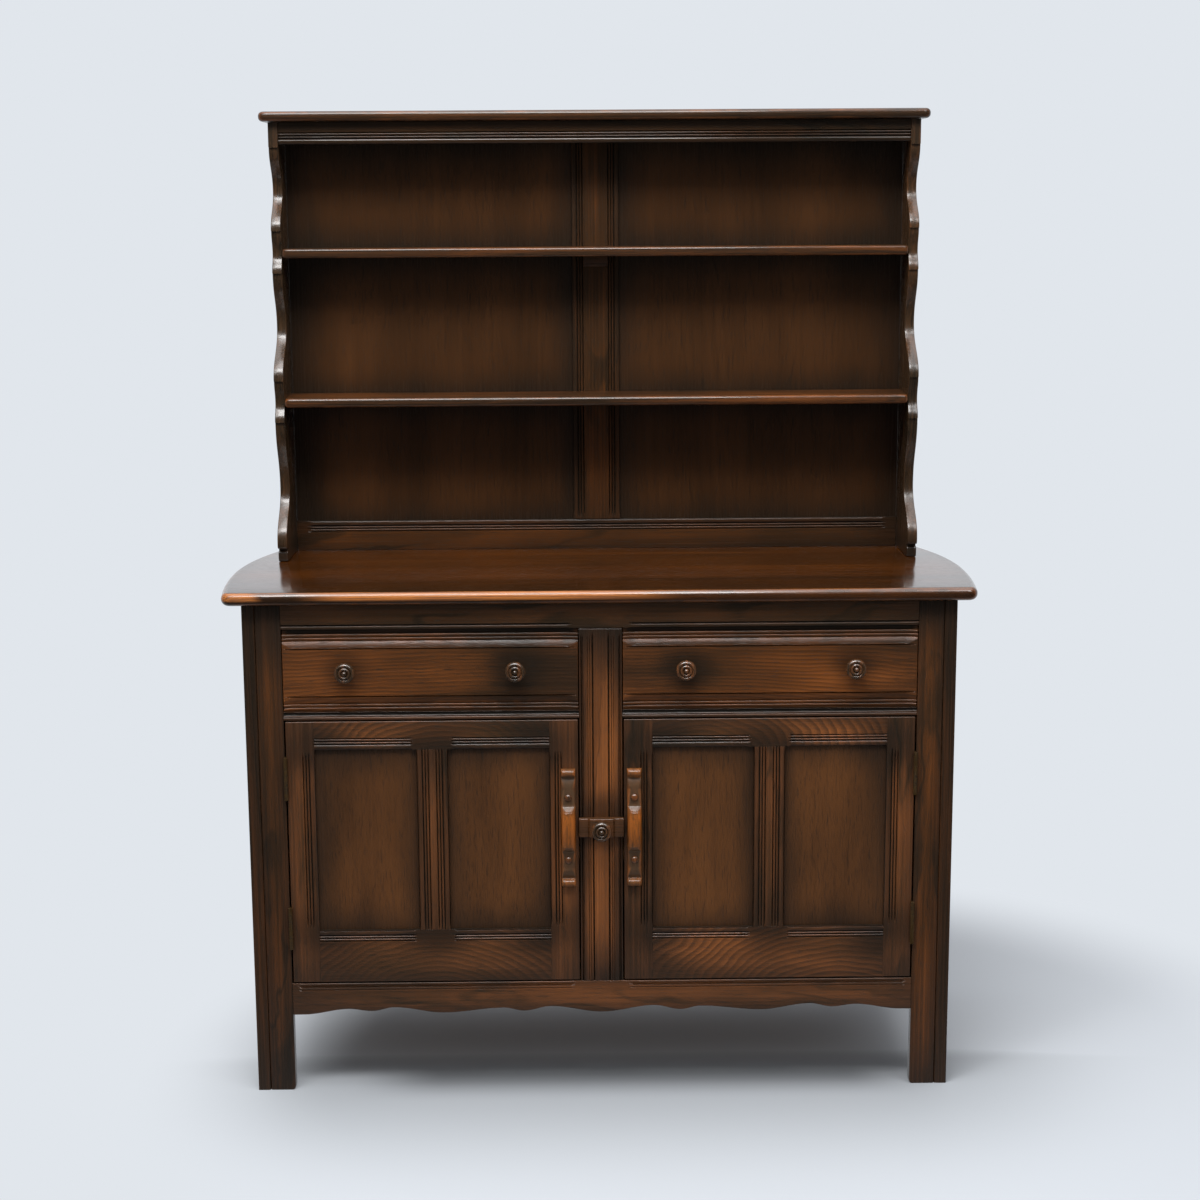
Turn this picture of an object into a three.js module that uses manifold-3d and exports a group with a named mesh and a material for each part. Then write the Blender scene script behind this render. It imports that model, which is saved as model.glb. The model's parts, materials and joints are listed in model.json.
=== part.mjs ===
// A welsh dresser: a cupboard base with two drawers and two doors, and an open plate rack that stands on it.
// Lengths are millimetres. X runs across, the front faces -Y, and Z is up from the floor.
import * as THREE from "three";
import { mergeVertices } from "three/addons/utils/BufferGeometryUtils.js";
import Module from "manifold-3d";

// Overall sizes
const worktopWidth = 1220; // over the bowed ends
const worktopDepth = 450;
const worktopHeight = 836; // top face above the floor
const worktopThickness = 21;
const worktopOverhang = 21; // in front of the doors
const worktopEndOverhang = 42; // past each end frame, where the worktop is widest
const totalHeight = 1590;
const rackInset = 21; // of each rack side from the outer face of the end frame below it

// Clearances
const seam = 0.3; // between pieces that are glued, housed or seated
const overrun = 5; // how far a cutter passes the face that it cuts
const mergeDistance = 1e-4;
const turnSides = 40; // facets round a turned knob
const pinSides = 16; // facets round a pin, peg or knuckle
const curveSteps = 6; // straight steps in each curve of an outline

// Worktop outline
const worktopEdgeRadius = 8;
const worktopBow = 16; // each end swells by this much between its corners
const worktopFrontCorner = 23;
const worktopBackCorner = 40;
const edgeSteps = 3;

// Front frame of the base
const frameThickness = 20;
const stileWidth = 41;
const muntinWidth = 69;
const topRailHeight = 42;
const drawerOpeningHeight = 133.5;
const drawerRailHeight = 14;
const drawerRailDepth = 42;
const doorOpeningHeight = 441.5;
const bottomRailHeight = 54;
const scallopRise = 11;
// The lower edge of the bottom rail from its middle outwards: shares of the half length and of the rise.
const scallopShares = [
  [0, 0], [0.167, 0.95], [0.254, 0.27], [0.318, 0.78], [0.513, 0.1],
  [0.674, 1], [0.745, 0.45], [0.82, 0.82], [0.965, 0.02], [1, 0],
];

// End frames
const endThickness = 20;
const legWidth = 45;
const footRadius = 6;
const endTopRail = 62;
const endBottomRail = 72;
const endPanelThickness = 8;
const endPanelRecess = 6;
const panelTongue = 7; // how far a panel enters its grooves

// Carcass boards
const housing = 5; // how far a board enters the piece that holds it
const bottomBoardThickness = 15;
const shelfThickness = 16;
const shelfHeight = 214; // top of the cupboard shelf above the bottom board
const shelfSetback = 28; // from the face of the doors
const backPanelThickness = 6;
const backRebate = 10;
const backInset = 2; // from the back faces of the legs
const runnerWidth = 62;
const runnerThickness = 14;
const runnerBackRail = 48;
const guideHeight = 18;
const guideClearance = 1;

// Drawers
const drawerGap = 1.3;
const drawerLength = 378;
const drawerSideThickness = 12;
const drawerSideHeight = 104;
const drawerBackThickness = 11;
const drawerBottomThickness = 5;
const drawerBottomLift = 11;
const drawerBackDrop = 8;
const knobSpacing = 270; // between the two knobs of a drawer

// Turned knobs
const knobDiameter = 33;
const knobReach = 26;
const knobShankDiameter = 11;
const knobShankLength = 17;
// The face and neck of a knob: shares of its radius and of its reach, from the wood outwards.
const knobShares = [
  [0.56, 0], [0.6, 0.1], [0.5, 0.22], [0.48, 0.34], [0.66, 0.48], [0.92, 0.58], [1, 0.68],
  [0.97, 0.8], [0.86, 0.88], [0.7, 0.86], [0.6, 0.82], [0.4, 0.84], [0.3, 0.94], [0.16, 1],
];

// Doors
const hingeGap = 2.5;
const doorGap = 2.2; // at the edge that opens
const doorTopGap = 2;
const doorOuterStile = 45;
const doorInnerStile = 46;
const doorMuntin = 50;
const doorTopRail = 47;
const doorBottomRail = 88;
const doorPanelThickness = 7;
const doorPanelRecess = 6.5;

// Door pulls
const pullLength = 198;
const pullWidth = 23;
const pullFromDoorEdge = 5;
const pullPadThickness = 8;
const pullBeadLength = 9;
const pullHollow = 3; // depth of the cove behind the end bead
const pullShoulder = 38; // from the middle to the foot of the shoulder
const pullGripReach = 23;
const pullGripHalf = 31;
const pullGripThickness = 10;
const pullGripSwell = 2;
const pegDiameter = 13;
const pegDome = 2.5;
const pegSpacing = 104;
const pullAboveFloor = 446;

// Hinges
const hingeLength = 70;
const hingeInset = 58; // from the door's top and bottom edges
const knuckleRadius = 3.2;
const hingeStandoff = 3.5; // of the pin in front of the door
const pinRadius = 1.4;
const pinClearance = 0.4;
const leafThickness = 0.8;
const leafDepth = 16;
const middleKnuckle = 26;

// Turn-button latch
const latchHeight = 31;
const latchThickness = 12;
const latchEdgeClearance = 0.5; // from each door's edge
const latchCorner = 3;
const latchKnobReach = 27;
const latchBearing = 0.4; // clearance round the spindle
const latchSpindleDiameter = 9;

// Plate rack
const rackSideThickness = 16.5;
const rackShelfThickness = 16;
const lowerShelfDepth = 129; // from the back edge of the rack
const upperShelfDepth = 102;
const rackHousing = 5; // how far a shelf enters the sides
const rackHousingStop = 14; // from the side's front edge to the end of the housing
const rackFrameThickness = 18;
const rackBottomRail = 52;
const rackMuntinWidth = 82;
const rackPanelThickness = 7;
const rackPanelRecess = 5.5;
const friezeHeight = 37;
const friezeThickness = 16;
const friezeSetback = 2; // behind the heads of the sides
const shelfBlockWidth = 43;
const shelfBlockHeight = 18;
const shelfBlockDepth = 12;
const topBoardThickness = 16.5;
const topBoardOverhang = 15;
const topBoardCorner = 14;
const topBoardEdgeRadius = 6.5;

// Heights of the shelves' top faces, as shares of the height from the worktop to the top board
const lowerShelfShare = 0.377;
const upperShelfShare = 0.716;

// Front edge of a rack side: distances from its back edge, and heights
const toeDepth = 183;
const toeHeight = 20;
const toeRound = 6;
const noseDepth = 157;
const noseHeight = 30;
const lowerScoopDepth = 93;
const middleScoopDepth = 67.5;
const topScoopDepth = 62;
const headDepth = 99.5;
const headHeight = 42;
const lipBelow = 41; // from a shelf's top face down to the lip under it
const lipAbove = 29;
const lipStep = 3;
const lipReach = 1; // of both lips past the shelf's front edge
const waistSetback = 11; // of the side's edge behind the shelf's front edge
// Heights of the narrowest places, as shares of the stretches between the lips.
const lowerScoopShare = 0.57;
const middleScoopShare = 0.5;
const topScoopShare = 0.49;
const easeShare = 0.45; // how long each curve keeps its end direction

// Places worked out from the sizes above, from the front face of the base
const baseWidth = worktopWidth - 2 * worktopEndOverhang;
const rackWidth = baseWidth - 2 * rackInset;
const backEdge = worktopDepth - worktopOverhang;
const halfBase = baseWidth / 2;
const endInside = halfBase - endThickness;
const openingOutside = endInside - stileWidth;
const openingInside = muntinWidth / 2;
const openingWidth = openingOutside - openingInside;
const worktopUnderside = worktopHeight - worktopThickness;
const drawerCeiling = worktopUnderside - topRailHeight;
const drawerFloor = drawerCeiling - drawerOpeningHeight;
const doorCeiling = drawerFloor - drawerRailHeight;
const cupboardFloor = doorCeiling - doorOpeningHeight;
const railFoot = cupboardFloor - bottomRailHeight;
const backPanelFront = backEdge - backInset - backPanelThickness;
const pivotHeight = pullAboveFloor;
const rackHeight = totalHeight - worktopHeight - topBoardThickness;
const lowerShelfHeight = rackHeight * lowerShelfShare;
const upperShelfHeight = rackHeight * upperShelfShare;
const rackInside = rackWidth / 2 - rackSideThickness;
const doorEdge = openingInside + doorGap;
const hingeAxis = openingOutside - hingeGap / 2;
const frontReach = Math.max(latchThickness + latchKnobReach, knobReach) + 2 * seam;

const wasm = await Module();
wasm.setup();

// Solids and plates

function solidOf(geometry) {
  const bare = geometry.clone();
  bare.deleteAttribute("normal");
  bare.deleteAttribute("uv");
  const merged = mergeVertices(bare, mergeDistance);
  const vertProperties = merged.attributes.position.array;
  const triVerts = new Uint32Array(merged.index.array);
  return new wasm.Manifold(new wasm.Mesh({ numProp: 3, vertProperties, triVerts }));
}

function geometryOf(solid) {
  const mesh = solid.getMesh();
  const geometry = new THREE.BufferGeometry();
  geometry.setAttribute("position", new THREE.BufferAttribute(mesh.vertProperties, mesh.numProp));
  geometry.setIndex(new THREE.BufferAttribute(mesh.triVerts, 1));
  geometry.computeVertexNormals();
  return geometry;
}

function cut(geometry, ...tools) {
  return geometryOf(tools.reduce((body, tool) => body.subtract(solidOf(tool)), solidOf(geometry)));
}

function join(...geometries) {
  return geometryOf(geometries.map(solidOf).reduce((body, more) => body.add(more)));
}

// A board between three pairs of faces.
function board([left, right], [front, back], [bottom, top]) {
  const geometry = new THREE.BoxGeometry(right - left, back - front, top - bottom);
  return geometry.translate((left + right) / 2, (front + back) / 2, (bottom + top) / 2);
}

// The space that a board needs when it is housed with a seam all round.
function room(x, y, z) {
  const wider = ([low, high]) => [low - seam, high + seam];
  return board(wider(x), wider(y), wider(z));
}

// The same pair of faces on the left (-1) or the right (1) of the middle.
function onSide(side, near, far) {
  return side < 0 ? [-far, -near] : [near, far];
}

// A plate with its outline in X and Z, from the front plane back.
function uprightPlate(shape, thickness) {
  const geometry = new THREE.ExtrudeGeometry(shape, plateOptions(thickness));
  return geometry.rotateX(Math.PI / 2).translate(0, thickness, 0);
}

// A plate with its outline in Y and Z, from X = 0 to the right.
function sidePlate(shape, thickness) {
  const turn = new THREE.Matrix4().makeBasis(
    new THREE.Vector3(0, 1, 0), new THREE.Vector3(0, 0, 1), new THREE.Vector3(1, 0, 0));
  return new THREE.ExtrudeGeometry(shape, plateOptions(thickness)).applyMatrix4(turn);
}

function plateOptions(thickness) {
  return { depth: thickness, bevelEnabled: false, curveSegments: curveSteps };
}

// A level plate with its outline in X and Y and rounded edges, from Z = 0 up.
function roundedPlate(shape, thickness, radius) {
  const options = {
    depth: thickness - 2 * radius, bevelEnabled: true, bevelThickness: radius, bevelSize: radius,
    bevelOffset: -radius, bevelSegments: edgeSteps, curveSegments: curveSteps,
  };
  return new THREE.ExtrudeGeometry(shape, options).translate(0, 0, radius);
}

// A round bar along Z that starts at the origin.
function roundBar(radius, length, sides = pinSides) {
  const geometry = new THREE.CylinderGeometry(radius, radius, length, sides);
  return geometry.rotateX(Math.PI / 2).translate(0, 0, length / 2);
}

// The same bar lying along -Y, towards the front.
function frontBar(radius, length, sides = pinSides) {
  return roundBar(radius, length, sides).rotateX(Math.PI / 2);
}

function piece(name, material, geometry) {
  const mesh = new THREE.Mesh(geometry, material);
  mesh.name = name;
  return mesh;
}

function wood(color, roughness) {
  return new THREE.MeshStandardMaterial({ color, roughness, metalness: 0 });
}

const worktopWood = wood(0x7a4a2c, 0.32);
const frameWood = wood(0x5f3d27, 0.5);
const panelWood = wood(0x55341f, 0.52);
const turnedWood = wood(0x6b452c, 0.45);
const drawerWood = wood(0xa98a63, 0.75);
const carcassWood = wood(0x8a7050, 0.8);
const hingeMetal = new THREE.MeshStandardMaterial({ color: 0x6a5636, roughness: 0.45, metalness: 0.9 });

// Base

function worktop() {
  const half = worktopWidth / 2;
  const shoulder = half - worktopBow;
  const front = -worktopOverhang;
  const pastBack = backEdge + worktopEdgeRadius;
  const frontStart = front + worktopFrontCorner;
  const backStart = backEdge - worktopBackCorner;
  const middle = (frontStart + backStart) / 2;
  const swell = half + worktopBow; // control point that takes the curve to the full width
  const shape = new THREE.Shape();
  shape.moveTo(-shoulder + worktopFrontCorner, front);
  shape.lineTo(shoulder - worktopFrontCorner, front);
  shape.quadraticCurveTo(shoulder, front, shoulder, frontStart);
  shape.quadraticCurveTo(swell, middle, shoulder, backStart);
  shape.quadraticCurveTo(shoulder, backEdge, shoulder - worktopBackCorner, pastBack);
  shape.lineTo(-shoulder + worktopBackCorner, pastBack);
  shape.quadraticCurveTo(-shoulder, backEdge, -shoulder, backStart);
  shape.quadraticCurveTo(-swell, middle, -shoulder, frontStart);
  shape.quadraticCurveTo(-shoulder, front, -shoulder + worktopFrontCorner, front);
  const slab = roundedPlate(shape, worktopThickness, worktopEdgeRadius);
  slab.translate(0, 0, worktopUnderside);
  const behind = board(
    [-half - overrun, half + overrun],
    [backEdge, pastBack + overrun],
    [worktopUnderside - overrun, worktopHeight + overrun]);
  return piece("worktop", worktopWood, cut(slab, behind));
}

// The outline of an end frame in Y and Z: two legs joined by the rails.
function endOutline() {
  const top = worktopUnderside - seam;
  const shape = new THREE.Shape();
  shape.moveTo(footRadius, 0);
  shape.lineTo(legWidth - footRadius, 0);
  shape.quadraticCurveTo(legWidth, 0, legWidth, footRadius);
  shape.lineTo(legWidth, railFoot);
  shape.lineTo(backEdge - legWidth, railFoot);
  shape.lineTo(backEdge - legWidth, footRadius);
  shape.quadraticCurveTo(backEdge - legWidth, 0, backEdge - legWidth + footRadius, 0);
  shape.lineTo(backEdge - footRadius, 0);
  shape.quadraticCurveTo(backEdge, 0, backEdge, footRadius);
  shape.lineTo(backEdge, top);
  shape.lineTo(0, top);
  shape.lineTo(0, footRadius);
  shape.quadraticCurveTo(0, 0, footRadius, 0);
  return shape;
}

const endWindow = {
  y: [legWidth, backEdge - legWidth],
  z: [railFoot + endBottomRail, worktopUnderside - endTopRail],
};
const endPanelFaces = {
  x: [halfBase - endPanelRecess - endPanelThickness, halfBase - endPanelRecess],
  y: [endWindow.y[0] - panelTongue, endWindow.y[1] + panelTongue],
  z: [endWindow.z[0] - panelTongue, endWindow.z[1] + panelTongue],
};
const bottomBoardFaces = {
  x: [-endInside - housing, endInside + housing],
  y: [frameThickness + seam, backPanelFront - seam],
  z: [cupboardFloor - bottomBoardThickness, cupboardFloor],
};
const shelfTop = cupboardFloor + shelfHeight;
const shelfFaces = {
  x: [-endInside - housing, endInside + housing],
  y: [shelfSetback, backPanelFront - seam],
  z: [shelfTop - shelfThickness, shelfTop],
};
const runnerFaces = {
  x: [-endInside - housing, endInside + housing],
  y: [drawerRailDepth + seam, backPanelFront - seam],
  z: [drawerFloor - runnerThickness, drawerFloor],
};
const backPanelFaces = {
  x: [-endInside - backRebate, endInside + backRebate],
  y: [backPanelFront, backPanelFront + backPanelThickness],
  z: [railFoot, worktopUnderside - seam],
};

function spaceFor({ x, y, z }) {
  return room(x, y, z);
}

function endFrame(side) {
  const name = side < 0 ? "left_end_frame" : "right_end_frame";
  const plate = sidePlate(endOutline(), endThickness);
  plate.translate(side < 0 ? -halfBase : endInside, 0, 0);
  const across = onSide(side, endInside - overrun, halfBase + overrun);
  const panel = room(onSide(side, ...endPanelFaces.x), endPanelFaces.y, endPanelFaces.z);
  const backSlot = board(
    onSide(side, endInside - overrun, endInside + backRebate + seam),
    [backPanelFront - seam, backEdge + overrun],
    [railFoot - seam, worktopUnderside + overrun]);
  const housed = [bottomBoardFaces, shelfFaces, runnerFaces].map(spaceFor);
  const window = board(across, endWindow.y, endWindow.z);
  return piece(name, frameWood, cut(plate, window, panel, backSlot, ...housed));
}

function endPanel(side) {
  const name = side < 0 ? "left_end_panel" : "right_end_panel";
  const { x, y, z } = endPanelFaces;
  return piece(name, panelWood, board(onSide(side, ...x), y, z));
}

function frontStile(side) {
  const name = side < 0 ? "front_left_stile" : "front_right_stile";
  const shape = new THREE.Shape();
  const width = stileWidth - seam;
  shape.moveTo(0, 0);
  shape.lineTo(width - footRadius, 0);
  shape.quadraticCurveTo(width, 0, width, footRadius);
  shape.lineTo(width, worktopUnderside - seam);
  shape.lineTo(0, worktopUnderside - seam);
  const plate = uprightPlate(shape, frameThickness);
  if (side > 0) plate.rotateZ(Math.PI).translate(0, frameThickness, 0);
  return piece(name, frameWood, plate.translate(side * (endInside - seam), 0, 0));
}

// Height of the scalloped edge at a distance from the middle, by cosine steps between its turns.
function scallopHeight(distance) {
  const share = distance / openingOutside;
  const after = Math.max(1, scallopShares.findIndex(([place]) => place >= share));
  const [startPlace, start] = scallopShares[after - 1];
  const [endPlace, end] = scallopShares[after];
  const way = (share - startPlace) / (endPlace - startPlace);
  const ease = (1 - Math.cos(Math.PI * way)) / 2;
  return railFoot + scallopRise * (start + (end - start) * ease);
}

function bottomRail() {
  const end = openingOutside - seam;
  const places = scallopShares.slice(1).flatMap(([place], turn) => {
    const start = scallopShares[turn][0];
    return Array.from({ length: curveSteps }, (_, step) => start + ((place - start) * step) / curveSteps);
  });
  const distances = places.map((place) => place * end).concat(end);
  const right = distances.map((distance) => [distance, scallopHeight(distance)]);
  const left = right.slice(1).reverse().map(([distance, height]) => [-distance, height]);
  const shape = new THREE.Shape();
  shape.moveTo(-end, cupboardFloor);
  left.concat(right).forEach(([x, z]) => shape.lineTo(x, z));
  shape.lineTo(end, cupboardFloor);
  return piece("front_bottom_rail", frameWood, uprightPlate(shape, frameThickness));
}

function topRail() {
  const end = openingOutside - seam;
  const faces = board([-end, end], [0, frameThickness], [drawerCeiling, worktopUnderside - seam]);
  return piece("front_top_rail", frameWood, faces);
}

function frontMuntin() {
  const plain = board(
    [-openingInside, openingInside], [0, frameThickness],
    [cupboardFloor + seam, drawerCeiling - seam]);
  const bearing = frontBar(latchSpindleDiameter / 2 + latchBearing, frameThickness + 2 * overrun);
  bearing.translate(0, frameThickness + overrun, pivotHeight);
  return piece("front_muntin", frameWood, cut(plain, bearing));
}

function drawerRail(side) {
  const name = side < 0 ? "left_drawer_rail" : "right_drawer_rail";
  const x = onSide(side, openingInside + seam, openingOutside - seam);
  return piece(name, frameWood, board(x, [0, drawerRailDepth], [doorCeiling, drawerFloor]));
}

// Three runners and a back rail under the drawers, with strips that guide the drawer sides.
function drawerRunnerFrame() {
  const { x, y, z } = runnerFaces;
  const windowBack = y[1] - runnerBackRail;
  const inner = runnerWidth / 2;
  const outer = openingOutside - runnerWidth / 2;
  const windows = [-1, 1].map((side) => board(
    onSide(side, inner, outer), [y[0] - overrun, windowBack], [z[0] - overrun, z[1] + overrun]));
  const strip = (faces) => board(faces, [y[0], windowBack], [z[1] - overrun, z[1] + guideHeight]);
  const middle = strip([guideClearance - openingInside, openingInside - guideClearance]);
  const outside = [openingOutside + guideClearance, endInside - seam];
  const sides = [-1, 1].map((side) => strip(onSide(side, ...outside)));
  return piece("drawer_runner_frame", carcassWood, join(runnerPlan(x, y, z, windows), middle, ...sides));
}

// The level part of the runner frame, wide enough in the middle to carry both drawers.
function runnerPlan(x, y, z, windows) {
  const plate = cut(board(x, y, z), ...windows);
  const middle = board([-openingInside - runnerWidth / 2, openingInside + runnerWidth / 2], y, z);
  return join(plate, middle);
}

function base() {
  const group = new THREE.Group();
  group.add(worktop(), topRail(), frontMuntin(), bottomRail(), drawerRunnerFrame());
  for (const side of [-1, 1])
    group.add(frontStile(side), drawerRail(side), endFrame(side), endPanel(side));
  const flat = (name, { x, y, z }, material) => piece(name, material, board(x, y, z));
  group.add(flat("base_back_panel", backPanelFaces, carcassWood));
  group.add(flat("bottom_board", bottomBoardFaces, carcassWood));
  group.add(flat("cupboard_shelf", shelfFaces, carcassWood));
  return group;
}

// A turned knob on the front plane with its axis along Y and its shank behind.
function knobGeometry(diameter, reach, shankDiameter, shankLength) {
  const points = knobShares.map(([radius, out]) => [(radius * diameter) / 2, out * reach]);
  const shank = shankDiameter / 2;
  const outline = [[0, -shankLength], [shank, -shankLength], [shank, 0], ...points, [0, reach]];
  const profile = outline.map(([radius, out]) => new THREE.Vector2(radius, out));
  return new THREE.LatheGeometry(profile, turnSides).rotateX(Math.PI);
}

// Drawers, each in a frame with its origin at the middle of the opening's bottom edge

function drawerFront(name) {
  const half = openingWidth / 2 - drawerGap;
  const plain = board(
    [-half, half], [0, frameThickness], [drawerGap, drawerOpeningHeight - drawerGap]);
  const holes = [-1, 1].map((side) => {
    const hole = frontBar(knobShankDiameter / 2 + seam, frameThickness + 2 * overrun, turnSides);
    return hole.translate((side * knobSpacing) / 2, frameThickness + overrun, drawerOpeningHeight / 2);
  });
  const { x, y, z } = drawerBottomFaces;
  return piece(name, frameWood, cut(plain, ...holes, room(x, y, z)));
}

const drawerHalf = openingWidth / 2 - drawerGap;
const drawerBoxFront = frameThickness + seam;
const drawerBottomFaces = {
  x: [-drawerHalf + drawerSideThickness - housing, drawerHalf - drawerSideThickness + housing],
  y: [frameThickness - housing, drawerLength],
  z: [seam + drawerBottomLift, seam + drawerBottomLift + drawerBottomThickness],
};

function drawerSide(name, side) {
  const x = onSide(side, drawerHalf - drawerSideThickness, drawerHalf);
  const plain = board(x, [drawerBoxFront, drawerLength], [seam, seam + drawerSideHeight]);
  const { y, z } = drawerBottomFaces;
  const groove = room(drawerBottomFaces.x, [y[0], y[1] + overrun], z);
  return piece(name, drawerWood, cut(plain, groove));
}

function drawerBack(name) {
  const half = drawerHalf - drawerSideThickness - seam;
  const bottom = drawerBottomFaces.z[1] + seam;
  const top = seam + drawerSideHeight - drawerBackDrop;
  return piece(name, drawerWood, board(
    [-half, half], [drawerLength - drawerBackThickness, drawerLength], [bottom, top]));
}

function drawer(side) {
  const label = side < 0 ? "left_drawer" : "right_drawer";
  const group = new THREE.Group();
  const { x, y, z } = drawerBottomFaces;
  group.add(drawerFront(label + "_front"), drawerBack(label + "_back"));
  group.add(piece(label + "_bottom", drawerWood, board(x, y, z)));
  for (const hand of [-1, 1]) {
    const word = hand < 0 ? "left" : "right";
    group.add(drawerSide(label + "_" + word + "_side", hand));
    const turned = knobGeometry(knobDiameter, knobReach, knobShankDiameter, knobShankLength);
    const knob = piece(label + "_" + word + "_knob", turnedWood, turned);
    knob.position.set((hand * knobSpacing) / 2, -seam, drawerOpeningHeight / 2);
    group.add(knob);
  }
  group.position.set((side * (openingInside + openingOutside)) / 2, 0, drawerFloor);
  return group;
}

// Doors

const doorOuterEdge = openingOutside - hingeGap;
const doorPaneWidth =
  (doorOuterEdge - doorEdge - doorOuterStile - doorInnerStile - doorMuntin) / 2;
const doorBottom = cupboardFloor + doorTopGap;
const doorTop = doorCeiling - doorTopGap;
const paneStarts = [doorEdge + doorInnerStile, doorEdge + doorInnerStile + doorPaneWidth + doorMuntin];
const paneZ = [doorBottom + doorBottomRail, doorTop - doorTopRail];

function doorPanelFaces(side, start) {
  return {
    x: onSide(side, start - panelTongue, start + doorPaneWidth + panelTongue),
    y: [doorPanelRecess, doorPanelRecess + doorPanelThickness],
    z: [paneZ[0] - panelTongue, paneZ[1] + panelTongue],
  };
}

function doorFrame(side, name) {
  const plain = board(
    onSide(side, doorEdge, doorOuterEdge), [0, frameThickness], [doorBottom, doorTop]);
  const through = [-overrun, frameThickness + overrun];
  const windows = paneStarts.map((start) => board(
    onSide(side, start, start + doorPaneWidth), through, paneZ));
  const grooves = paneStarts.map((start) => spaceFor(doorPanelFaces(side, start)));
  return piece(name, frameWood, cut(plain, ...windows, ...grooves));
}

// The side view of a pull: distances out from the door against heights from its middle.
function pullOutline() {
  const half = pullLength / 2;
  const cove = half - pullBeadLength;
  const padEnd = (cove + pegSpacing / 2) / 2;
  const inner = pullGripReach - pullGripThickness;
  const gap = pullShoulder - pullGripThickness;
  const shape = new THREE.Shape();
  const top = [
    [pullPadThickness, half], [pullPadThickness, cove], [pullPadThickness - pullHollow, cove]];
  shape.moveTo(0, half);
  top.forEach(([out, height]) => shape.lineTo(out, height));
  shape.quadraticCurveTo(pullPadThickness - pullHollow, padEnd, pullPadThickness, padEnd);
  shape.lineTo(pullPadThickness, pullShoulder);
  shape.quadraticCurveTo(pullPadThickness, pullGripHalf, pullGripReach, pullGripHalf);
  shape.quadraticCurveTo(pullGripReach + 2 * pullGripSwell, 0, pullGripReach, -pullGripHalf);
  shape.quadraticCurveTo(pullPadThickness, -pullGripHalf, pullPadThickness, -pullShoulder);
  shape.lineTo(pullPadThickness, -padEnd);
  shape.quadraticCurveTo(
    pullPadThickness - pullHollow, -padEnd, pullPadThickness - pullHollow, -cove);
  top.reverse().slice(1).forEach(([out, height]) => shape.lineTo(out, -height));
  shape.lineTo(0, -half);
  shape.lineTo(0, -gap);
  shape.quadraticCurveTo(inner, -gap, inner, 0);
  shape.quadraticCurveTo(inner, gap, 0, gap);
  return shape;
}

function pull(side, name) {
  const plate = sidePlate(pullOutline(), pullWidth).rotateZ(Math.PI);
  plate.translate(pullWidth / 2, 0, 0);
  const pegs = [-1, 1].map((end) => {
    const peg = frontBar(pegDiameter / 2, pullPadThickness + pegDome);
    return peg.translate(0, 0, (end * pegSpacing) / 2);
  });
  const mesh = piece(name, turnedWood, join(plate, ...pegs));
  const middle = doorEdge + pullFromDoorEdge + pullWidth / 2;
  mesh.position.set(side * middle, -seam, pullAboveFloor);
  return mesh;
}

function door(side) {
  const label = side < 0 ? "left_door" : "right_door";
  const group = new THREE.Group();
  group.add(doorFrame(side, label + "_frame"), pull(side, label + "_pull"));
  paneStarts.forEach((start, pane) => {
    const { x, y, z } = doorPanelFaces(side, start);
    group.add(piece(label + (pane ? "_outer_panel" : "_inner_panel"), panelWood, board(x, y, z)));
  });
  return group;
}

// Hinges: the pin is the origin, the leaves run back from it, and the door is on the +X side

function knuckle(bottom, top, radius) {
  return roundBar(radius, top - bottom).translate(0, 0, bottom);
}

const outerKnuckle = (hingeLength - middleKnuckle) / 2;
const knuckleStarts = [[0, outerKnuckle - seam], [outerKnuckle + middleKnuckle + seam, hingeLength]];
const leafOffset = seam / 2; // each leaf from the middle of the gap

function frameLeaf() {
  const plate = board([-leafOffset - leafThickness, -leafOffset], [0, leafDepth], [0, hingeLength]);
  const clear = knuckle(outerKnuckle - seam, outerKnuckle + middleKnuckle + seam, knuckleRadius + seam);
  const pin = knuckle(0, hingeLength, pinRadius);
  const knuckles = knuckleStarts.map(([low, high]) => knuckle(low, high, knuckleRadius));
  return join(cut(plate, clear), pin, ...knuckles);
}

function doorLeaf() {
  const plate = board([leafOffset, leafOffset + leafThickness], [0, leafDepth], [0, hingeLength]);
  const clears = [
    knuckle(-overrun, outerKnuckle, knuckleRadius + seam),
    knuckle(outerKnuckle + middleKnuckle, hingeLength + overrun, knuckleRadius + seam),
  ];
  const middle = knuckle(outerKnuckle, outerKnuckle + middleKnuckle, knuckleRadius);
  const bore = knuckle(-overrun, hingeLength + overrun, pinRadius + pinClearance);
  return cut(join(cut(plate, ...clears), middle), bore);
}

function hinges(side) {
  const group = new THREE.Group();
  const label = side < 0 ? "left_door" : "right_door";
  const places = { lower: doorBottom + hingeInset, upper: doorTop - hingeInset - hingeLength };
  for (const [word, height] of Object.entries(places)) {
    const leaves = [
      piece(`${label}_${word}_hinge_frame_leaf`, hingeMetal, frameLeaf()),
      piece(`${label}_${word}_hinge_door_leaf`, hingeMetal, doorLeaf()),
    ];
    for (const leaf of leaves) {
      if (side > 0) leaf.scale.x = -1;
      leaf.position.set(side * hingeAxis, -hingeStandoff, height);
      group.add(leaf);
    }
  }
  return group;
}

// The latch, in a frame with its origin on the muntin's face at the pivot

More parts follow.
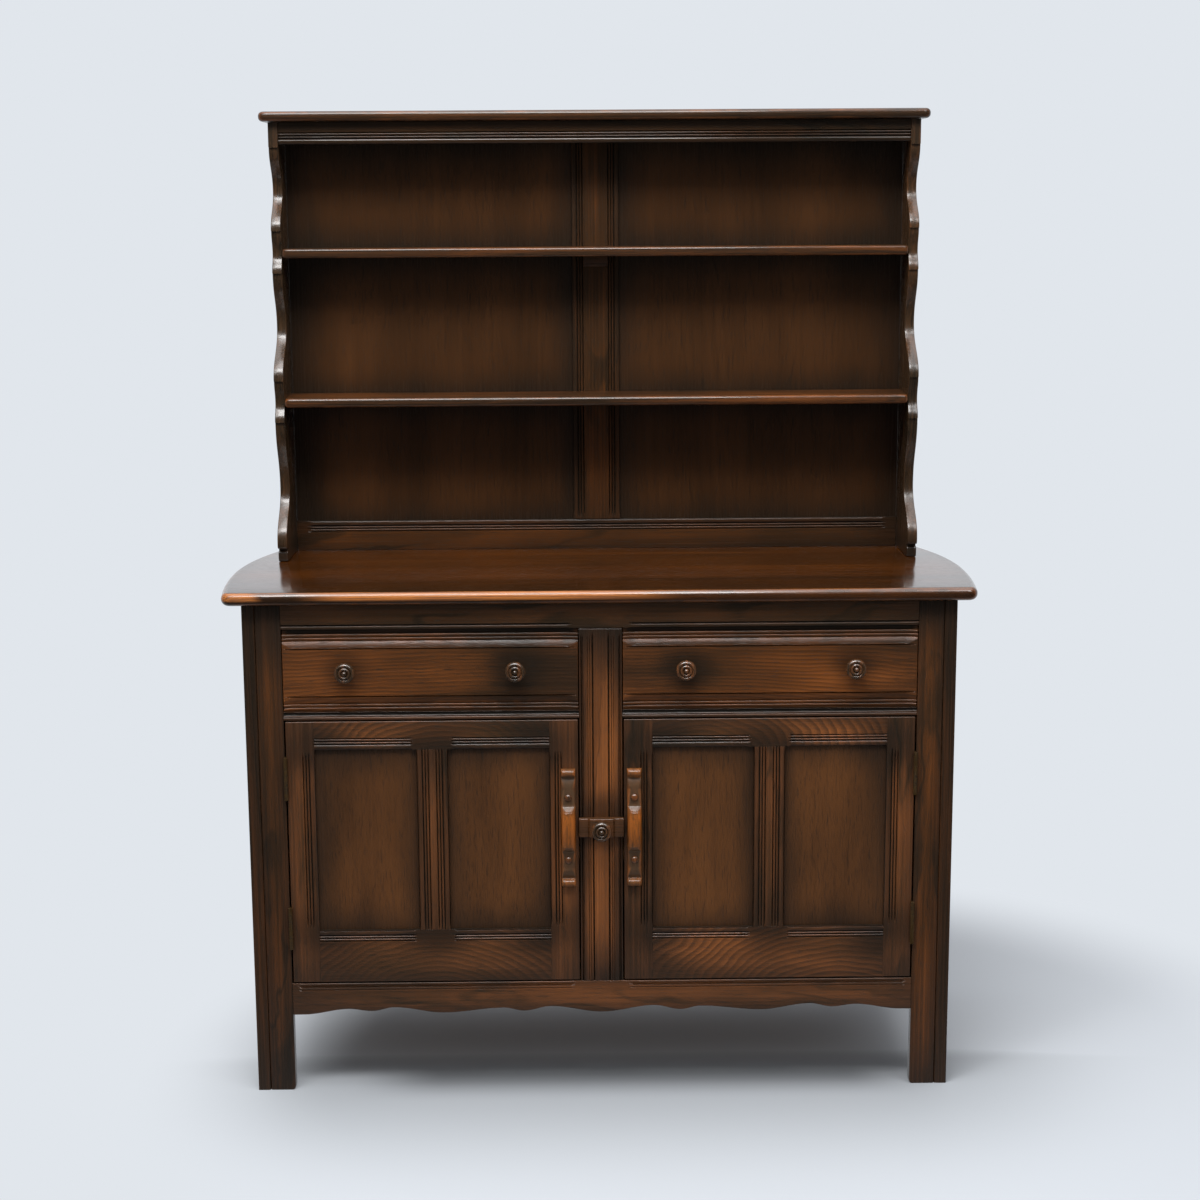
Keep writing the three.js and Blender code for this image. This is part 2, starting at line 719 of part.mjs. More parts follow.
function latchBar() {
  const half = openingInside + doorGap - latchEdgeClearance;
  const rise = latchHeight / 2;
  const shape = new THREE.Shape();
  const corner = (x, z, nextX, nextZ) => shape.quadraticCurveTo(x, z, nextX, nextZ);
  shape.moveTo(-half + latchCorner, -rise);
  shape.lineTo(half - latchCorner, -rise);
  corner(half, -rise, half, -rise + latchCorner);
  shape.lineTo(half, rise - latchCorner);
  corner(half, rise, half - latchCorner, rise);
  shape.lineTo(-half + latchCorner, rise);
  corner(-half, rise, -half, rise - latchCorner);
  shape.lineTo(-half, -rise + latchCorner);
  corner(-half, -rise, -half + latchCorner, -rise);
  const plate = uprightPlate(shape, latchThickness).translate(0, -latchThickness, 0);
  const hole = frontBar(latchSpindleDiameter / 2 + seam, latchThickness + 2 * overrun);
  return cut(plate, hole.translate(0, overrun, 0));
}

function latch() {
  const group = new THREE.Group();
  const shank = latchThickness + 2 * seam + frameThickness;
  const bar = piece("latch_bar", frameWood, latchBar());
  const turned = knobGeometry(knobDiameter, latchKnobReach, latchSpindleDiameter, shank);
  const knob = piece("latch_knob", turnedWood, turned);
  bar.position.set(0, -seam, 0);
  knob.position.set(0, -latchThickness - 2 * seam, 0);
  group.add(bar, knob);
  group.position.set(0, 0, pivotHeight);
  return group;
}

// Plate rack, in a frame with its origin on the worktop at the back edge

// A curve to a lip or a waist that leaves and arrives upright.
function swing(shape, fromY, fromZ, toY, toZ) {
  const ease = (toZ - fromZ) * easeShare;
  shape.bezierCurveTo(-fromY, fromZ + ease, -toY, toZ - ease, -toY, toZ);
}

function rackSideOutline() {
  const top = rackHeight - seam;
  const head = rackHeight - headHeight;
  const lower = shelfStations(lowerShelfDepth, lowerShelfHeight);
  const upper = shelfStations(upperShelfDepth, upperShelfHeight);
  const lowerScoop = noseHeight + (lower.lipBelow - noseHeight) * (1 - lowerScoopShare);
  const middleScoop = lower.lipAbove + (upper.lipBelow - lower.lipAbove) * middleScoopShare;
  const topScoop = upper.lipAbove + (head - upper.lipAbove) * topScoopShare;
  const shape = new THREE.Shape();
  shape.moveTo(0, seam);
  shape.lineTo(-toeDepth + toeRound, seam);
  shape.quadraticCurveTo(-toeDepth, seam, -toeDepth, toeHeight / 2);
  shape.quadraticCurveTo(-toeDepth, toeHeight, -toeDepth + toeRound, toeHeight);
  shape.lineTo(-noseDepth + lipStep, toeHeight);
  shape.quadraticCurveTo(-noseDepth, toeHeight, -noseDepth, noseHeight);
  swing(shape, noseDepth, noseHeight, lowerScoopDepth, lowerScoop);
  throughShelf(shape, lowerScoopDepth, lowerScoop, lower);
  swing(shape, lower.lip, lower.lipAbove, middleScoopDepth, middleScoop);
  throughShelf(shape, middleScoopDepth, middleScoop, upper);
  swing(shape, upper.lip, upper.lipAbove, topScoopDepth, topScoop);
  swing(shape, topScoopDepth, topScoop, headDepth - lipStep, head);
  shape.lineTo(-headDepth, head);
  shape.lineTo(-headDepth, top);
  shape.lineTo(0, top);
  return shape;
}

function shelfStations(depth, height) {
  return {
    lip: depth + lipReach,
    waist: depth - waistSetback,
    lipBelow: height - lipBelow,
    middle: height - rackShelfThickness / 2,
    lipAbove: height + lipAbove,
  };
}

// From a scoop out to the lip under a shelf, in to the waist beside it, and out to the lip above it.
function throughShelf(shape, scoopDepth, scoopHeight, station) {
  swing(shape, scoopDepth, scoopHeight, station.lip - lipStep, station.lipBelow);
  shape.lineTo(-station.lip, station.lipBelow);
  swing(shape, station.lip, station.lipBelow, station.waist, station.middle);
  swing(shape, station.waist, station.middle, station.lip - lipStep, station.lipAbove);
  shape.lineTo(-station.lip, station.lipAbove);
}

function rackShelfFaces(depth, height) {
  return {
    x: [seam - rackInside, rackInside - seam],
    y: [-depth, -rackFrameThickness - seam],
    z: [height - rackShelfThickness, height],
  };
}

// The part of a shelf that is wide enough to enter the housings in both sides.
function rackTongueFaces(depth, height) {
  const { y, z } = rackShelfFaces(depth, height);
  const stop = y[0] + waistSetback + rackHousingStop;
  return { x: [-rackInside - rackHousing, rackInside + rackHousing], y: [stop, y[1]], z };
}

function rackSide(side) {
  const name = side < 0 ? "rack_left_side" : "rack_right_side";
  const plate = sidePlate(rackSideOutline(), rackSideThickness);
  plate.translate(side < 0 ? -rackWidth / 2 : rackInside, 0, 0);
  const tongues = [
    rackTongueFaces(lowerShelfDepth, lowerShelfHeight),
    rackTongueFaces(upperShelfDepth, upperShelfHeight)];
  return piece(name, frameWood, cut(plate, ...tongues.map(spaceFor)));
}

// A shelf with a half-round front edge, housed in both sides.
function rackShelf(name, depth, height) {
  const { x, y, z } = rackShelfFaces(depth, height);
  const radius = rackShelfThickness / 2;
  const shape = new THREE.Shape();
  shape.moveTo(y[1], z[0]);
  shape.lineTo(y[1], z[1]);
  shape.lineTo(y[0] + radius, z[1]);
  shape.absarc(y[0] + radius, z[0] + radius, radius, Math.PI / 2, 1.5 * Math.PI, false);
  const plate = sidePlate(shape, x[1] - x[0]).translate(x[0], 0, 0);
  const tongue = rackTongueFaces(depth, height);
  return piece(name, frameWood, join(plate, board(tongue.x, tongue.y, tongue.z)));
}

const rackPanelFaces = {
  x: [rackMuntinWidth / 2 - panelTongue, rackInside - seam],
  y: [rackPanelRecess - rackFrameThickness, rackPanelRecess + rackPanelThickness - rackFrameThickness],
  z: [rackBottomRail - panelTongue, rackHeight - seam],
};

function rackBack() {
  const group = new THREE.Group();
  const { x, y, z } = rackPanelFaces;
  const spaces = [-1, 1].map((side) => room(onSide(side, ...x), y, z));
  const half = rackMuntinWidth / 2;
  const depth = [-rackFrameThickness, 0];
  const rail = board([-rackInside + seam, rackInside - seam], depth, [seam, rackBottomRail]);
  const muntin = board([-half, half], depth, [rackBottomRail + seam, rackHeight - seam]);
  group.add(piece("rack_bottom_rail", frameWood, cut(rail, ...spaces)));
  group.add(piece("rack_muntin", frameWood, cut(muntin, ...spaces)));
  for (const side of [-1, 1]) {
    const name = side < 0 ? "rack_left_back_panel" : "rack_right_back_panel";
    group.add(piece(name, panelWood, board(onSide(side, ...x), y, z)));
  }
  return group;
}

function topBoard() {
  const half = rackWidth / 2 + topBoardOverhang;
  const front = -headDepth - topBoardOverhang;
  const past = topBoardEdgeRadius;
  const shape = new THREE.Shape();
  shape.moveTo(-half + topBoardCorner, front);
  shape.lineTo(half - topBoardCorner, front);
  shape.quadraticCurveTo(half, front, half, front + topBoardCorner);
  shape.lineTo(half, past);
  shape.lineTo(-half, past);
  shape.lineTo(-half, front + topBoardCorner);
  shape.quadraticCurveTo(-half, front, -half + topBoardCorner, front);
  const slab = roundedPlate(shape, topBoardThickness, topBoardEdgeRadius);
  const behind = board(
    [-half - overrun, half + overrun], [0, past + overrun],
    [-overrun, topBoardThickness + overrun]);
  const mesh = piece("rack_top_board", frameWood, cut(slab, behind));
  mesh.position.z = rackHeight;
  return mesh;
}

function frieze() {
  const front = friezeSetback - headDepth;
  const end = rackInside - seam;
  return piece("rack_frieze", frameWood, board(
    [-end, end], [front, front + friezeThickness], [rackHeight - friezeHeight, rackHeight - seam]));
}

function shelfBlock() {
  const top = upperShelfHeight - rackShelfThickness - seam;
  const back = -rackFrameThickness - seam;
  return piece("rack_shelf_block", frameWood, board(
    [-shelfBlockWidth / 2, shelfBlockWidth / 2],
    [back - shelfBlockDepth, back], [top - shelfBlockHeight, top]));
}

function rack() {
  const group = new THREE.Group();
  group.add(rackSide(-1), rackSide(1), rackBack(), topBoard(), frieze(), shelfBlock());
  group.add(rackShelf("rack_lower_shelf", lowerShelfDepth, lowerShelfHeight));
  group.add(rackShelf("rack_upper_shelf", upperShelfDepth, upperShelfHeight));
  group.position.set(0, backEdge, worktopHeight);
  return group;
}

// The whole dresser, with its origin on the floor under the middle of its outline
const dresser = new THREE.Group();
dresser.add(base(), drawer(-1), drawer(1), door(-1), door(1), hinges(-1), hinges(1), latch(), rack());
dresser.position.y = (frontReach - backEdge) / 2;
const group = new THREE.Group();
group.add(dresser);

export default group;
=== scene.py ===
# A dark stained welsh dresser: a cupboard base with two drawers and two doors, and a plate rack on it.
# Lengths are metres. X runs across, the front faces -Y, and Z is up from the floor.
import itertools
import json
import math

import bmesh
import bpy
from mathutils import Matrix, Vector

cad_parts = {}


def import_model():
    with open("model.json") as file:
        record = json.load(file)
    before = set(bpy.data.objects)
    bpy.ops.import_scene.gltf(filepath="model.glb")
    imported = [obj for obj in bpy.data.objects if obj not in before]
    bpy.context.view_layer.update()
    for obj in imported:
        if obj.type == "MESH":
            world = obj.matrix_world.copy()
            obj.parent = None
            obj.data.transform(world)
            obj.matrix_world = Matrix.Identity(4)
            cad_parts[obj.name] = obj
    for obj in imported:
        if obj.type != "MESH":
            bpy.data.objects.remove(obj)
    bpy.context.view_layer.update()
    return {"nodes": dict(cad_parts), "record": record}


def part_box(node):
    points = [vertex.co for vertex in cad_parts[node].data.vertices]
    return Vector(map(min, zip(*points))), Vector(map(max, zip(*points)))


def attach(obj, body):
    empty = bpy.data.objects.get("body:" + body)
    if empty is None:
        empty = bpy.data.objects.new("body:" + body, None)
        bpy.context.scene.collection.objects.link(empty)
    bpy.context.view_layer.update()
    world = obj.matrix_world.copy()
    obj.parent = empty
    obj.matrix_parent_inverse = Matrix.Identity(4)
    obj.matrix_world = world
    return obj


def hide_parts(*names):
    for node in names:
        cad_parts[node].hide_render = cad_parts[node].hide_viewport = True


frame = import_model()

record = frame["record"]
BODY_OF = {node: body for body, nodes in record["behaviour"]["bodies"].items() for node in nodes}
X, Y, Z = 0, 1, 2
SIDES = (("left", -1), ("right", 1))

# Edges and joints
ARRIS = 0.0016  # rounding of a free edge
JOINT = 0.0005  # rounding where two pieces meet
FLUSH = 0.0002  # rounding where boards are glued up flush
CLOSE = 0.0004  # rounding beside a narrow gap
SLIGHT = 0.0008  # rounding of plain boards
SHARP_ANGLE = math.radians(32)
TURNED_ANGLE = math.radians(50)  # sharp on turned pieces
PULL_ANGLE = math.radians(40)
CORNER_ANGLE = math.radians(60)
STRAIGHT = 0.9  # part of an edge's direction along an axis that it follows
LEVEL = 0.5  # most of an edge's direction across a plate where it runs round a face
CLOSEST = 0.00004  # lines and points nearer than this are one
TINY = 1e-9  # keeps a division from a length of zero
EASE_STEPS = 4
BEVEL_STEPS = 4
BLOCK_STEPS = 3

# The cutter of the mouldings
SWING = 0.040  # radius at which it swings out of the wood at a stopped end
SHORT_SWING = 0.009
SWING_STEPS = 9
BEAD_STEPS = 10
FLAT_MARGINS = (0.0004, 0.0012)


def bead(start, end, edge, crest):
    """A rounded stretch of a profile over a crest: distances from the board's edge with depths."""
    turns = [math.pi * step / BEAD_STEPS for step in range(BEAD_STEPS + 1)]
    width = end - start
    return [(start + width * (1 - math.cos(t)) / 2, edge - (edge - crest) * math.sin(t)) for t in turns]


def ovolo(start, end, first, last):
    """A quarter round between two depths, steep at its start and level at its end."""
    turns = [math.pi / 2 * step / BEAD_STEPS for step in range(BEAD_STEPS + 1)]
    width = end - start
    return [(start + width * (1 - math.cos(t)), first - (first - last) * math.sin(t)) for t in turns]


def swell(start, end, deep, shallow, crown):
    """A slope between two depths, crowned in its middle."""
    width = end - start
    shares = [step / BEAD_STEPS for step in range(BEAD_STEPS + 1)]
    return [(start + width * s, deep - (deep - shallow) * s - crown * math.sin(math.pi * s)) for s in shares]


def groove(start, end, depth):
    """A round-bottomed groove in a flat face."""
    turns = [math.pi * step / (BEAD_STEPS // 2 + 1) for step in range(BEAD_STEPS // 2 + 2)]
    width = end - start
    return [(start + width * t / math.pi, depth * math.sin(t)) for t in turns]


# Profiles, from the edge of the board inwards: a large bead and two reeds run round every panel
PANEL_MOULD = (
    bead(0, 0.0088, 0.0036, 0.0003) + bead(0.0098, 0.0132, 0.0032, 0.0003)
    + bead(0.0142, 0.0182, 0.0032, 0.0003) + [(0.0190, 0.0022), (0.0198, 0)])
DRAWER_MOULD = (
    bead(0.0002, 0.0052, 0.0066, 0.0044) + bead(0.0060, 0.0108, 0.0066, 0.0042)
    + [(0.0114, 0.0066), (0.0120, 0.0060)] + swell(0.0122, 0.0220, 0.0058, 0.0006, 0.0005)
    + groove(0.0224, 0.0248, 0.0034))
DRAWER_TOP_GAP = 0.0060  # the upper mould of a drawer starts this far below its edge, over a deep rebate
DRAWER_TOP_MOULD = [(0, 0.0084), (0.0052, 0.0084)] + [
    (reach + DRAWER_TOP_GAP, depth) for reach, depth in DRAWER_MOULD]
LIP_MOULD = bead(0, 0.0062, 0.0028, 0.0002) + [(0.0070, 0.0026), (0.0080, 0.0022), (0.0086, 0)]
RAIL_MOULD = bead(0, 0.0056, 0.0024, 0.0002) + [(0.0062, 0.0020)] + ovolo(0.0068, 0.0136, 0.0006, 0.0030)
SILL_MOULD = (
    bead(0, 0.0042, 0.0020, 0.0002) + groove(0.0048, 0.0068, 0.0018)
    + bead(0.0076, 0.0116, 0.0016, 0.0002) + [(0.0122, 0.0014), (0.0128, 0)])
POST_MOULD = (
    bead(0, 0.0034, 0.0022, 0.0002) + groove(0.0036, 0.0048, 0.0020) + groove(0.0056, 0.0066, 0.0018)
    + groove(0.0134, 0.0144, 0.0014) + groove(0.0168, 0.0178, 0.0016) + groove(0.0204, 0.0232, 0.0034))


def between(profile, reach):
    """The depth of a profile at a distance from the edge, 0 outside it."""
    if not profile[0][0] <= reach <= profile[-1][0]:
        return 0.0
    for (start, low), (end, high) in zip(profile, profile[1:]):
        if reach <= end:
            return low + (high - low) * (reach - start) / max(end - start, TINY)
    return profile[-1][1]


class Moulding:
    """One run of a profile along an edge. Past its start and stop the cutter swings out of the wood."""

    def __init__(self, profile, edge, inward, start=None, stop=None, swing=SWING):
        self.profile, self.edge, self.inward, self.swing = profile, edge, inward, swing
        self.ends = [(place, way) for place, way in ((start, -1), (stop, 1)) if place is not None]
        deepest = max(depth for _, depth in profile)
        self.fade = math.sqrt(swing ** 2 - (swing - deepest) ** 2)

    def depth(self, across, along):
        cut = between(self.profile, (across - self.edge) * self.inward)
        for place, way in self.ends:
            past = min(max((along - place) * way, 0), self.swing)
            cut -= self.swing - math.sqrt(self.swing ** 2 - past ** 2)
        return max(cut, 0.0)

    def across(self):
        """Places of its lines across the board, with two beside it that keep the flat face's shading flat."""
        last = self.profile[-1][0]
        reaches = [reach for reach, _ in self.profile] + [last + margin for margin in FLAT_MARGINS]
        return [self.edge + self.inward * reach for reach in reaches]

    def along(self):
        steps = [self.fade * step / SWING_STEPS for step in range(SWING_STEPS + 1)]
        steps += [self.fade + margin for margin in FLAT_MARGINS]
        return [place + way * step for place, way in self.ends for step in steps]


def both_sides(profile, low, high, start=None, stop=None):
    """The same moulding along both edges of a board."""
    return [Moulding(profile, edge, way, start, stop) for edge, way in ((low, 1), (high, -1))]


def quarter(radius):
    """Distances from a rounded edge with their depths."""
    turns = [math.pi / 2 * step / EASE_STEPS for step in range(EASE_STEPS + 1)]
    return [(radius * (1 - math.cos(t)), radius * (1 - math.sin(t))) for t in turns]


def lines(low, high, places):
    """Sorted places between two ends, with both ends and no near doubles."""
    kept = [low]
    for place in sorted(places):
        if kept[-1] + CLOSEST < place < high - CLOSEST:
            kept.append(place)
    return kept + [high]


def loose(geometry, kind):
    return [part for part in geometry if isinstance(part, kind)]


def relief(low, high, run, cuts=(), eases=(ARRIS, ARRIS, ARRIS, ARRIS), extra=()):
    """A board with mouldings in its front. eases round its edges: low and high across, then along the run."""
    over = Z - run
    rounded = [quarter(radius) for radius in eases]
    across = [place for cut in cuts for place in cut.across()]
    across += [low[over] + reach for reach, _ in rounded[0]] + [high[over] - reach for reach, _ in rounded[1]]
    along = [place for cut in cuts for place in cut.along()] + list(extra)
    along += [low[run] + reach for reach, _ in rounded[2]] + [high[run] - reach for reach, _ in rounded[3]]
    across, along = lines(low[over], high[over], across), lines(low[run], high[run], along)
    bm = bmesh.new()
    row = []
    for place in across:
        spot = Vector(low)
        spot[over] = place
        row.append(bm.verts.new(spot))
    edges = [bm.edges.new(pair) for pair in zip(row, row[1:])]
    for here, there in zip(along, along[1:]):
        made = bmesh.ops.extrude_edge_only(bm, edges=edges)["geom"]
        moved = set(loose(made, bmesh.types.BMVert))
        step = Vector((0, 0, 0))
        step[run] = there - here
        bmesh.ops.translate(bm, verts=list(moved), vec=step)
        edges = [edge for edge in loose(made, bmesh.types.BMEdge) if moved.issuperset(edge.verts)]
    for vert in bm.verts:
        a, b = vert.co[over], vert.co[run]
        depth = max([cut.depth(a, b) for cut in cuts], default=0)
        gaps = (a - low[over], high[over] - a, b - low[run], high[run] - b)
        depth += sum(between(curve, gap) for curve, gap in zip(rounded, gaps))
        vert.co.y = low.y + depth
    return close_back(bm, high.y)


def close_back(bm, back):
    """Turns an open front into a solid board with a flat back."""
    rim = [edge for edge in bm.edges if edge.is_boundary]
    made = bmesh.ops.extrude_edge_only(bm, edges=rim)["geom"]
    behind = set(loose(made, bmesh.types.BMVert))
    for vert in behind:
        vert.co.y = back
    outline = [edge for edge in loose(made, bmesh.types.BMEdge) if behind.issuperset(edge.verts)]
    bmesh.ops.contextual_create(bm, geom=outline)
    return bm


def bevel(bm, edges, radius, segments=BEVEL_STEPS):
    bmesh.ops.bevel(
        bm, geom=edges, offset=radius, offset_type="OFFSET", segments=segments, profile=0.5,
        affect="EDGES", clamp_overlap=True, material=-1)


def block(low, high, radius=ARRIS, wider=()):
    """A board with all its edges eased. wider pairs a test for some edges with their own radius."""
    bm = bmesh.new()
    bmesh.ops.create_cube(bm, size=1)
    size = high - low
    bmesh.ops.scale(bm, verts=bm.verts, vec=size)
    bmesh.ops.translate(bm, verts=bm.verts, vec=(low + high) / 2)
    for test, bigger in wider:
        bevel(bm, [edge for edge in bm.edges if test(*middle_and_way(edge))], bigger)
    sharp = [edge for edge in bm.edges if edge.calc_face_angle(0) > CORNER_ANGLE]
    bevel(bm, sharp, radius, BLOCK_STEPS)
    return bm


def middle_and_way(edge):
    start, end = (vert.co for vert in edge.verts)
    return (start + end) / 2, (end - start).normalized()


def bend(start, control, end, steps):
    """Points of a curve that bends towards a control point, without its start."""
    shares = [step / steps for step in range(1, steps + 1)]
    return [start * (1 - s) ** 2 + control * (2 * s * (1 - s)) + end * s * s for s in shares]


def swing_between(start, end, steps, ease=0.45):
    """Points of a curve that leaves and arrives upright, without its start."""
    rise = (end.y - start.y) * ease
    first, second = start + Vector((0, rise)), end - Vector((0, rise))
    points = []
    for step in range(1, steps + 1):
        s = step / steps
        points.append(
            start * (1 - s) ** 3 + first * (3 * s * (1 - s) ** 2)
            + second * (3 * s * s * (1 - s)) + end * s ** 3)
    return points


def plate(outline, axis, near, far):
    """A plate of an outline, which is drawn in the other two axes, between two planes of the given one."""
    others = [way for way in (X, Y, Z) if way != axis]
    bm = bmesh.new()
    verts = []
    for point in outline:
        spot = Vector((0, 0, 0))
        spot[axis], spot[others[0]], spot[others[1]] = near, point[0], point[1]
        verts.append(bm.verts.new(spot))
    face = bm.faces.new(verts)
    made = bmesh.ops.extrude_face_region(bm, geom=[face])["geom"]
    step = Vector((0, 0, 0))
    step[axis] = far - near
    bmesh.ops.translate(bm, verts=loose(made, bmesh.types.BMVert), vec=step)
    if any(edge.is_boundary for edge in bm.edges):
        bmesh.ops.holes_fill(bm, edges=bm.edges, sides=0)
    return bm


def rim_edges(bm, axis, keep=lambda middle: True):
    """The edges round the two faces of a plate, where keep allows them."""
    return [
        edge for edge in bm.edges
        if abs(middle_and_way(edge)[1][axis]) < LEVEL and edge.calc_face_angle(0) > CORNER_ANGLE
        and keep(middle_and_way(edge)[0])]


def mirrored(right):
    """A whole outline from its right half."""
    return right + [Vector((-point.x, point.y)) for point in reversed(right)]


def cut_off_behind(bm, back):
    """Cuts a plate straight at its back."""
    cut = bmesh.ops.bisect_plane(
        bm, geom=bm.verts[:] + bm.edges[:] + bm.faces[:], plane_co=(0, back, 0), plane_no=(0, 1, 0),
        clear_outer=True)["geom_cut"]
    bmesh.ops.contextual_create(bm, geom=loose(cut, bmesh.types.BMEdge))


def turn_profile(profile, axis_start, steps):
    """Turns radii against distances in front of a point round an axis along Y."""
    bm = bmesh.new()
    verts = [bm.verts.new(axis_start + Vector((radius, -out, 0))) for radius, out in profile]
    edges = [bm.edges.new(pair) for pair in zip(verts, verts[1:])]
    bmesh.ops.spin(
        bm, geom=verts + edges, cent=axis_start, axis=(0, 1, 0), angle=2 * math.pi, steps=steps,
        use_merge=True)
    bmesh.ops.remove_doubles(bm, verts=bm.verts, dist=CLOSEST / 4)
    return bm


def show(name, bm, stands_for, material, angle=SHARP_ANGLE):
    """Makes a mesh a piece of the dresser, which rides with the CAD node that it replaces."""
    bmesh.ops.recalc_face_normals(bm, faces=bm.faces)
    mesh = bpy.data.meshes.new(name)
    bm.to_mesh(mesh)
    bm.free()
    mesh.shade_smooth()
    mesh.set_sharp_from_angle(angle=angle)
    piece = bpy.data.objects.new(name, mesh)
    bpy.context.scene.collection.objects.link(piece)
    mesh.materials.append(material)
    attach(piece, BODY_OF[stands_for])
    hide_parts(stands_for)


# Shader maths


class Wire:
    """A socket of a finish, with the arithmetic of Math nodes. The other value may be a number."""

    def __init__(self, finish, socket):
        self.finish, self.socket = finish, socket

    def math(self, operation, *values):
        return self.finish.node("Math", {"operation": operation}, dict(enumerate(values)))

    def __add__(self, other):
        return self.math("ADD", self, other)

    def __radd__(self, other):
        return self.math("ADD", other, self)

    def __sub__(self, other):
        return self.math("SUBTRACT", self, other)

    def __rsub__(self, other):
        return self.math("SUBTRACT", other, self)

    def __mul__(self, other):
        return self.math("MULTIPLY", self, other)

    def __rmul__(self, other):
        return self.math("MULTIPLY", other, self)

    def __truediv__(self, other):
        return self.math("DIVIDE", self, other)

    def __abs__(self):
        return self.math("ABSOLUTE", self)

    def root(self):
        return self.math("SQRT", self)

    def fraction(self):
        return self.math("FRACT", self)

    def whole(self):
        return self.math("FLOOR", self)

    def most(self, other):
        return self.math("MAXIMUM", self, other)

    def least(self, other):
        return self.math("MINIMUM", self, other)

    def rise(self, start, end, low=0.0, high=1.0):
        """A smooth step from low to high while the value goes from start to end."""
        return self.finish.node(
            "MapRange", {"interpolation_type": "SMOOTHSTEP"},
            {"Value": self, "From Min": start, "From Max": end, "To Min": low, "To Max": high})


class Finish:
    """The nodes of a material or of the world under construction."""

    def __init__(self, owner):
        owner.use_nodes = True
        self.owner, self.tree = owner, owner.node_tree
        self.tree.nodes.clear()

    def node(self, kind, settings=None, values=None, output=0):
        made = self.tree.nodes.new("ShaderNode" + kind)
        for key, value in (settings or {}).items():
            if key == "stops":
                self.set_stops(made.color_ramp, value)
            else:
                setattr(made, key, value)
        for key, value in (values or {}).items():
            if isinstance(value, Wire):
                self.tree.links.new(value.socket, made.inputs[key])
            else:
                made.inputs[key].default_value = value
        return Wire(self, made.outputs[output]) if made.outputs else None

    @staticmethod
    def set_stops(ramp, stops):
        while len(ramp.elements) < len(stops):
            ramp.elements.new(1.0)
        for element, (place, colour) in zip(ramp.elements, stops):
            element.position = place
            element.color = (*colour, 1)

    def split(self, vector):
        parts = self.node("SeparateXYZ", values={0: vector}).socket.node
        return [Wire(self, output) for output in parts.outputs]

    def join(self, x, y, z):
        return self.node("CombineXYZ", values={0: x, 1: y, 2: z})

    def noise(self, vector, detail=2.0, roughness=0.5, scale=1.0):
        return self.node(
            "TexNoise", values={"Vector": vector, "Scale": scale, "Detail": detail, "Roughness": roughness})

    def blend(self, factor, first, second):
        return self.node(
            "Mix", {"data_type": "RGBA"}, {0: factor, 6: tint(first), 7: tint(second)}, output=2)

    def finish_with(self, **values):
        """Ends the material in one glossy surface, whose sockets take these values."""
        surface = self.node("BsdfPrincipled", values={
            key.replace("_", " ").replace("Ior", "IOR"): value for key, value in values.items()})
        self.node("OutputMaterial", values={"Surface": surface})
        return self.owner


def new_finish(name):
    return Finish(bpy.data.materials.new(name))


def tint(colour):
    return colour if isinstance(colour, Wire) else (*colour, 1)


def srgb(red, green, blue):
    """A colour written as 0 to 255, in the linear values that shaders take."""
    parts = (value / 255 for value in (red, green, blue))
    return tuple(part / 12.92 if part <= 0.04045 else ((part + 0.055) / 1.055) ** 2.4 for part in parts)


# Woods: tones from the darkest line of the grain to the lightest wood, and how the figure is cut

# the dark of the stain, which also serves as painted shade
STAIN_AND_SHADE = srgb(27, 23, 18)
WORN = srgb(150, 84, 34)
HANDLED = srgb(62, 50, 37)
COAT_TINT = (1.0, 0.965, 0.93, 1)
TONE_PLACES = (0.0, 0.3, 0.55, 0.8, 1.0)
MOULD_DEPTH = (0.010, 0.014)  # no moulding is deeper, and the wood behind it is plain
SEAM_DEPTH = (0.002, 0.004)  # behind a panel's face, where the painted shade of a shelf in front of it ends

# Streaks along the grain: how often they turn per metre across it and along it, their detail and their place
STREAKS = {
    "sway": (3.1, 1.7, 2.0, 0.3),
    "ripple": (24.0, 9.0, 2.0, 4.1),
    "swirl": (13.0, 9.0, 1.0, 6.6),
    "breaks": (9.0, 5.0, 1.0, 2.9),
    "pores": (1150.0, 46.0, 1.0, 7.7),
    "fibre": (260.0, 4.2, 3.0, 1.1),
    "mottle": (8.5, 2.6, 2.0, 5.9),
    "rubbed": (620.0, 7.0, 2.0, 3.7)}
SEED_STEPS = (1.7, 0.9, 2.3)  # between the places of two boards across, behind and along the grain
ASIDE_PACE, LIFT_PACE, TILT_PACE, ARCH_PACE = 2.4, 1.3, 5.1, 3.3  # radians from one board to the next
HEART_ASIDE = 0.35  # of a board's width, between its middle and the log's heart
HEART_LIFT = 0.03
RING_DRIFT = (0.9, 1.3)  # of the rings along a board and across it
RING_LINE = 0.05
LINE_BREAKS = (0.35, 0.6)
PORE_SHARE = (0.58, 0.70)
PLANK_SLIDE = 1.37  # of the figure from one glued-up plank to the next
PLANK_STEP = 0.618
PLANK_ASIDE = 0.2
PLANK_TONE = 0.3
ARCH_ASIDE = 0.32  # of a rail's length, between its middle and the top of its arches
ARCH_FOOT = 0.5  # of a rail's width, from its lower edge down to the middle of its arches
ARCH_SWIRL = 0.22
ARCH_RIPPLE = 0.010
ARCH_DARKENS = (0.05, 0.86)
ARCH_ENDS = (0.88, 1.0)
ARCH_STRENGTH = (0.25, 0.75, 0.4, 1.7)
ARCH_LINES = 0.3  # share of the plain lines that stays between arches
